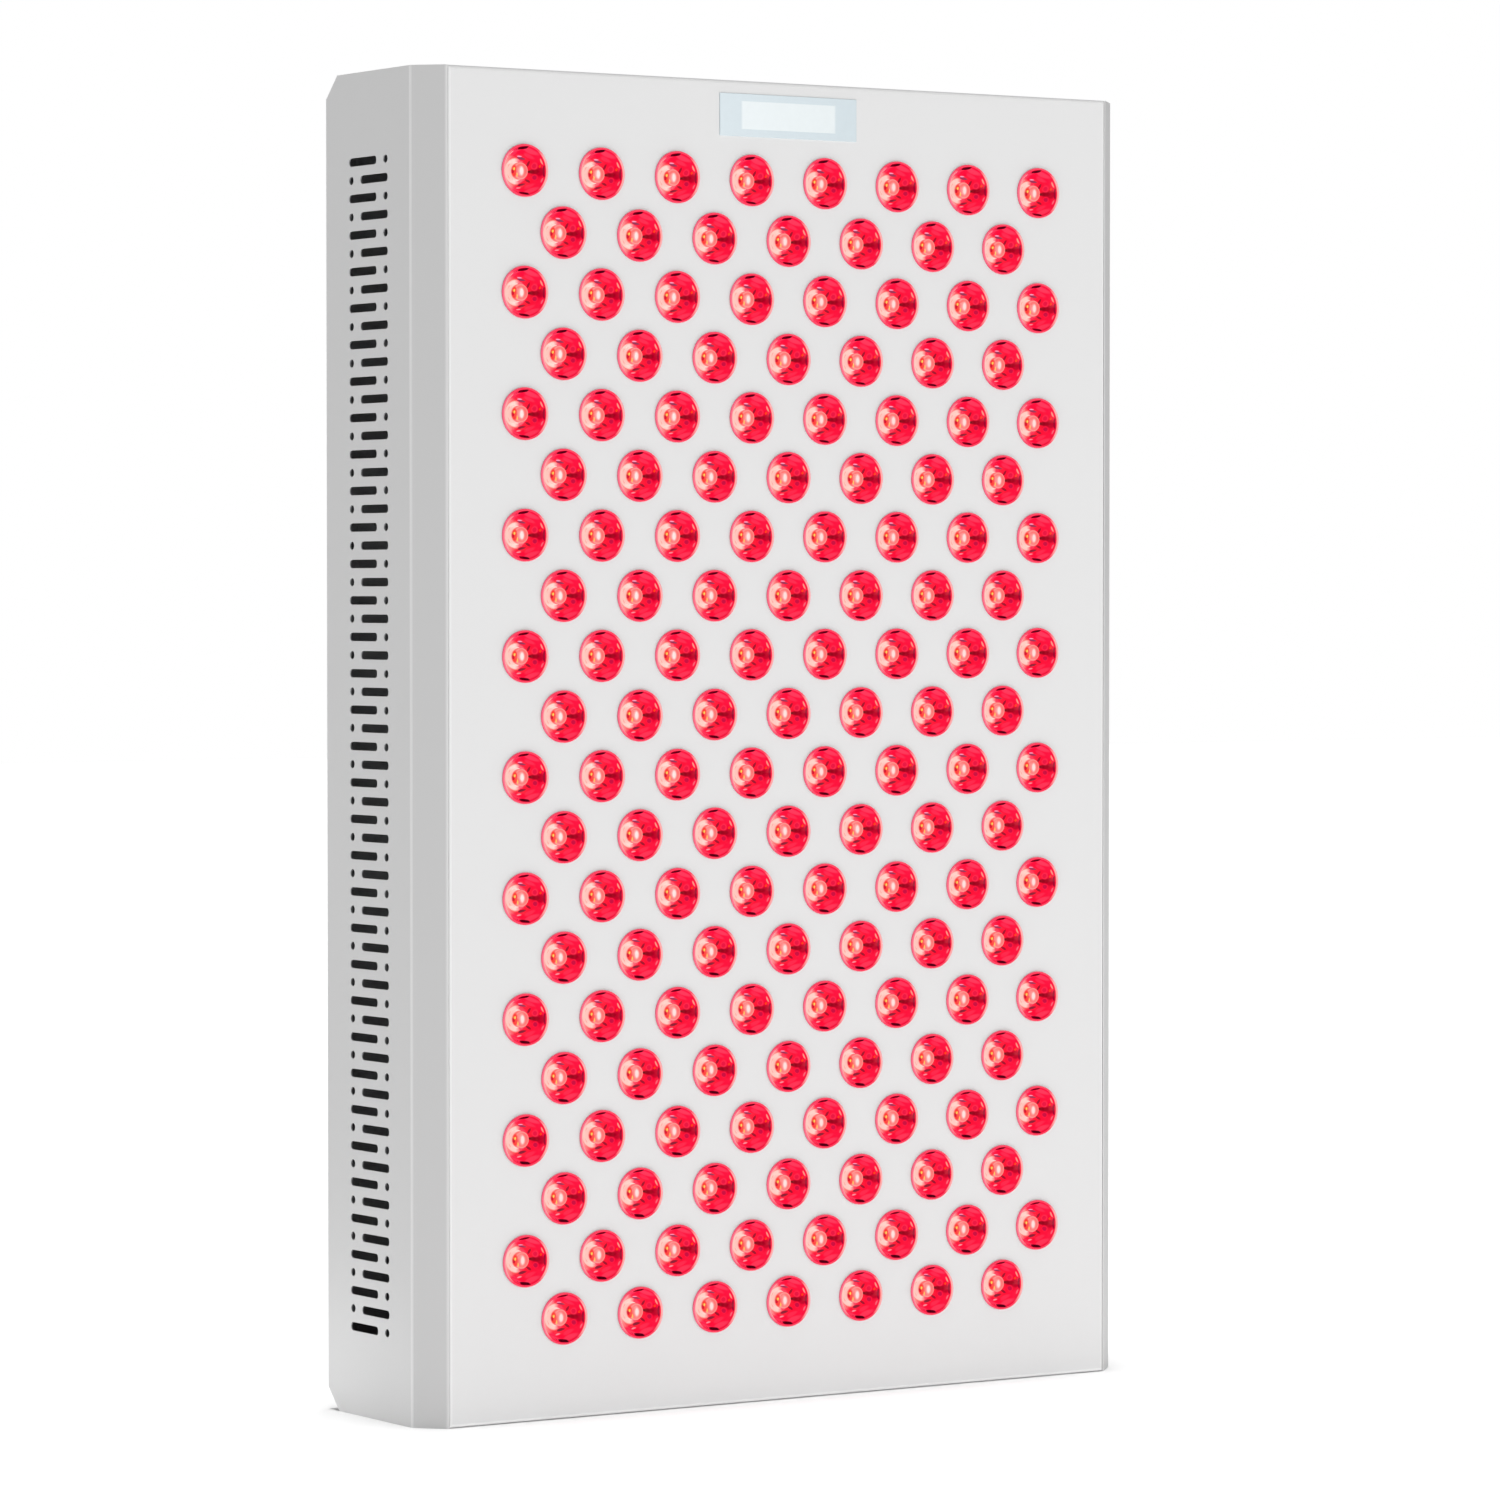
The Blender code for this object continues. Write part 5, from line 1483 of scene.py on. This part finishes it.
shell = rounded(*SHELL, 1 * MM, inlet_mid)
screw_holes = [circle(INLET_SCREW_HOLE / 2, place, 20) for place in INLET_SCREWS]
parts = (shell, socket_outline(), screw_holes, SOCKET_DEPTH)
inlet_mesh = snap_in("inlet_body", FLANGE_CORNER, FLANGE_EDGE, *parts)
inlet = piece("mains_inlet_moulding", inlet_mesh, BLACK_ABS, nodes=["inlet_body"])
inlet_spots = [(x, inlet_high.y - SEAT, z) for x, z in INLET_SCREWS]
inlet_screws = piece("inlet_screws", placed(INLET_HEAD, inlet_spots), ZINC)

# %% Mains switch
SWITCH_WELL = (19.4 * MM, 26.6 * MM)
SWITCH_SHELL = (22 * MM, 28.6 * MM)
WELL_DEPTH = 6 * MM
BEZEL_CORNER = 1.5 * MM
BEZEL_EDGE = 0.7 * MM
shell = rounded(*SWITCH_SHELL, 0.8 * MM, switch_mid)
well = rounded(*SWITCH_WELL, 0.6 * MM, switch_mid)
switch_mesh = snap_in("switch_body", BEZEL_CORNER, BEZEL_EDGE, shell, well, [], WELL_DEPTH)
switch = piece("mains_switch_moulding", switch_mesh, BLACK_ABS, nodes=["switch_body"])

# %% Rocker
PIVOT = Vector((switch_mid[0], BACK - 2 * MM, switch_mid[1]))
ROCKER_TILT = math.radians(7)
TILT = Matrix.Translation(PIVOT) @ Matrix.Rotation(ROCKER_TILT, 4, "X")
ON_ITS_SIDE = Matrix(((0, 0, 1, 0), (1, 0, 0, 0), (0, 1, 0, 0), (0, 0, 0, 1)))
ROCKER_HALF = 12.9 * MM
ROCKER_WIDTH = 18.8 * MM
ROCKER_EDGE = 0.5 * MM
ROCKER_BACK = (-6 * MM, 8 * MM)
PIN_LENGTH = 9.9
PIN = in_mm([(0, -PIN_LENGTH), (1.1, -PIN_LENGTH), (1.1, PIN_LENGTH), (0, PIN_LENGTH)])
STAND = 5.5 * MM
DISH = 1.5 * MM
DISH_HALF = ROCKER_HALF - 1.1 * MM
DISH_STEPS = 8


def rocker_face(share):
    """How far the dished face stands out, this share of the way from its middle to its end."""
    return STAND - DISH * math.cos(math.pi / 2 * share) ** 1.5


shares = [1 - i / DISH_STEPS for i in range(2 * DISH_STEPS + 1)]
back_y, back_z = ROCKER_BACK
rocker_outline = [(0, ROCKER_HALF), (back_y, back_z), (back_y, -back_z), (0, -ROCKER_HALF)]
rocker_outline += [(rocker_face(share), DISH_HALF * share) for share in shares[::-1]]
rocker_mesh = cut_sheet(rocker_outline, [], ROCKER_WIDTH, ROCKER_EDGE)
rocker_mesh.transform(ON_ITS_SIDE)
pivots = turned(PIN, (0, 0, 0), 24)
pivots.transform(Matrix.Rotation(math.pi / 2, 4, "Z"))
rocker_mesh = joined([rocker_mesh, pivots])
rocker_mesh.transform(TILT)
rocker = piece("rocker_moulding", rocker_mesh, GLOSSY_NYLON, "rocker", ["switch_rocker"])

# %% Bar and ring
MARK_WIDTH = 0.4 * MM
MARK_HALF = 2 * MM
MARK_Z = 7 * MM
marks = bmesh.new()
mark_y = rocker_face(MARK_Z / DISH_HALF)
ring = [(x, mark_y, z) for x, z in circle(MARK_HALF, (0, -MARK_Z), 32)]
wire(marks, ring, MARK_WIDTH, True)
wire(marks, [(x, mark_y, MARK_Z) for x in (-MARK_HALF, 0, MARK_HALF)], MARK_WIDTH, False)
marks_mesh = closed(marks)
marks_mesh.transform(TILT)
rocker_marks = piece("rocker_bar_and_ring", marks_mesh, WHITE_FILL, "rocker")

# %% [markdown]
# ## Floor, lights and camera
#
# The panel stands on a plain pale floor in a white room, whose ceiling gives more light than
# its walls. To the camera the walls are plain white.

# %% Floor
REACH = 9
corners = [(-REACH, -REACH, 0), (REACH, -REACH, 0), (REACH, REACH, 0), (-REACH, REACH, 0)]
floor_mesh = bpy.data.meshes.new("floor")
floor_mesh.from_pydata(corners, [], [(0, 1, 2, 3)])
floor = bpy.data.objects.new("floor", floor_mesh)
bpy.context.scene.collection.objects.link(floor)


def floor_paint():
    material, tree, shader = new_material("pale_studio_floor")
    place = add(tree, "TexCoord").outputs["Object"]
    cloud = add(tree, "TexNoise", {"Vector": place, "Scale": 3.0})
    parts = {0: cloud.outputs["Fac"], 6: linear("F4F4F4"), 7: linear("F7F7F7")}
    white = add(tree, "Mix", parts, data_type="RGBA")
    fill(shader, {"Base Color": white.outputs[2], "Roughness": 0.9, "Specular IOR Level": 0.1})
    return material


floor_mesh.materials.append(floor_paint())
print("floor:", 2 * REACH, "m wide")

# %% Room
WALL_LIGHT, CEILING_LIGHT = 0.12, 0.42
world = bpy.data.worlds.new("white_room")
bpy.context.scene.world = world
world.use_nodes = True
room = world.node_tree
seen = add(room, "LightPath").outputs["Is Camera Ray"]
direction = add(room, "SeparateXYZ", {0: add(room, "TexCoord").outputs["Generated"]})
parts = {"Value": direction.outputs["Z"], "To Min": WALL_LIGHT, "To Max": CEILING_LIGHT}
given = add(room, "MapRange", parts).outputs["Result"]
level = add(room, "Mix", {0: seen, 2: given, 3: 1.0}, data_type="FLOAT").outputs[0]
fill(room.nodes["Background"], {"Strength": level, "Color": (1, 1, 1, 1)})
print("room: walls", WALL_LIGHT, "ceiling", CEILING_LIGHT)

# %% [markdown]
# ## Lights
#
# A photographer flags each lamp so that it falls only where it is wanted. Blender calls this
# light linking, and it does the same here. A sun straight above lights the floor, and a wide
# softbox in front lights the plate, the display and the lenses. A weak sun lights the top, one
# skims along each side panel's seam, and a small lamp beside each panel lifts its lowest part.
#
# The lenses' own glow stays on the lenses, as the white plate round them shows no red.


# %% A light
def hang(name, kind, place, target, energy, only_on, **settings):
    """Adds a light that the camera doesn't see, and that lights only some of the pieces."""
    light = bpy.data.lights.new(name, kind)
    light.energy = energy
    for setting, value in settings.items():
        setattr(light, setting, value)
    lamp = bpy.data.objects.new(name, light)
    lamp.location = place
    lamp.rotation_euler = (Vector(place) - Vector(target)).to_track_quat("Z", "Y").to_euler()
    lamp.visible_camera = False
    bpy.context.scene.collection.objects.link(lamp)
    lit = bpy.data.collections.new(name + "_lights")
    for each in only_on:
        lit.objects.link(each)
    lamp.light_linking.receiver_collection = lit


# %% The lenses' own glow
glow_reach = bpy.data.collections.new("lens_glow_reaches")
for strip in strips:
    glow_reach.objects.link(strip)
    strip.light_linking.receiver_collection = glow_reach

# %% Lights over and in front
FACE = [front_plate, display_window, *strips]
TOP = [top_plate, back_cover, front_plate]
FLOOR_SUN = math.pi * 0.98
TOP_SUN = math.pi * 0.09
SOFTBOX, SOFTBOX_SIZE = 44.6, 1.6
SOFTBOX_PLACE, SOFTBOX_TARGET = (1.2, -3.4, 0.62), (0, 0, 0.28)
ABOVE, MIDDLE = (0, 0, 3), (0, 0, 0)
hang("over_the_floor", "SUN", ABOVE, MIDDLE, FLOOR_SUN, [floor], angle=0.2)
hang("in_front", "AREA", SOFTBOX_PLACE, SOFTBOX_TARGET, SOFTBOX, FACE, size=SOFTBOX_SIZE)
hang("over_the_top", "SUN", ABOVE, MIDDLE, TOP_SUN, TOP, angle=0.6)

# %% Lights along the seams and low beside the panels
SEAM_SUN = 1.5
LOW_LAMP, LOW_LAMP_SIZE, LOW_LAMP_Z = 0.0085, 0.03, 0.018
for side, panel in ((-1, left_side), (1, right_side)):
    seam = (-side * 0.76, -0.65, 0)
    hang(f"along_the_seam_{panel.name}", "SUN", seam, MIDDLE, SEAM_SUN, [panel], angle=0.2)
    low = (side * 0.25, 0.045, LOW_LAMP_Z)
    foot = (side * HALF_WIDTH, 0, LOW_LAMP_Z)
    hang(f"low_beside_{panel.name}", "AREA", low, foot, LOW_LAMP, [panel], size=LOW_LAMP_SIZE)
print("lights:", len(bpy.data.lights))

# %% [markdown]
# ## Camera
#
# The camera's place and lens come from the photograph: the panel's outline and the straight
# rows of its lamps tell how far away and how high it stood. A full-frame sensor is 36 mm wide.

# %% Camera
EYE = (-1.4917, -2.2905, 0.3639)
YAW = math.radians(33.21)
DOWN = math.radians(1.53)
FOCAL = 144.5
SENSOR = 36
camera_data = bpy.data.cameras.new("camera")
camera_data.lens = FOCAL
camera_data.sensor_width = SENSOR
camera = bpy.data.objects.new("camera", camera_data)
camera.location = EYE
camera.rotation_euler = Euler((math.pi / 2 - DOWN, 0, -YAW))
bpy.context.scene.collection.objects.link(camera)
bpy.context.scene.camera = camera
bpy.context.scene.view_settings.view_transform = "Standard"
print("camera:", round(Vector(EYE).length, 2), "m from the panel")

# %% Bringing the scene up to date
bpy.context.view_layer.update()
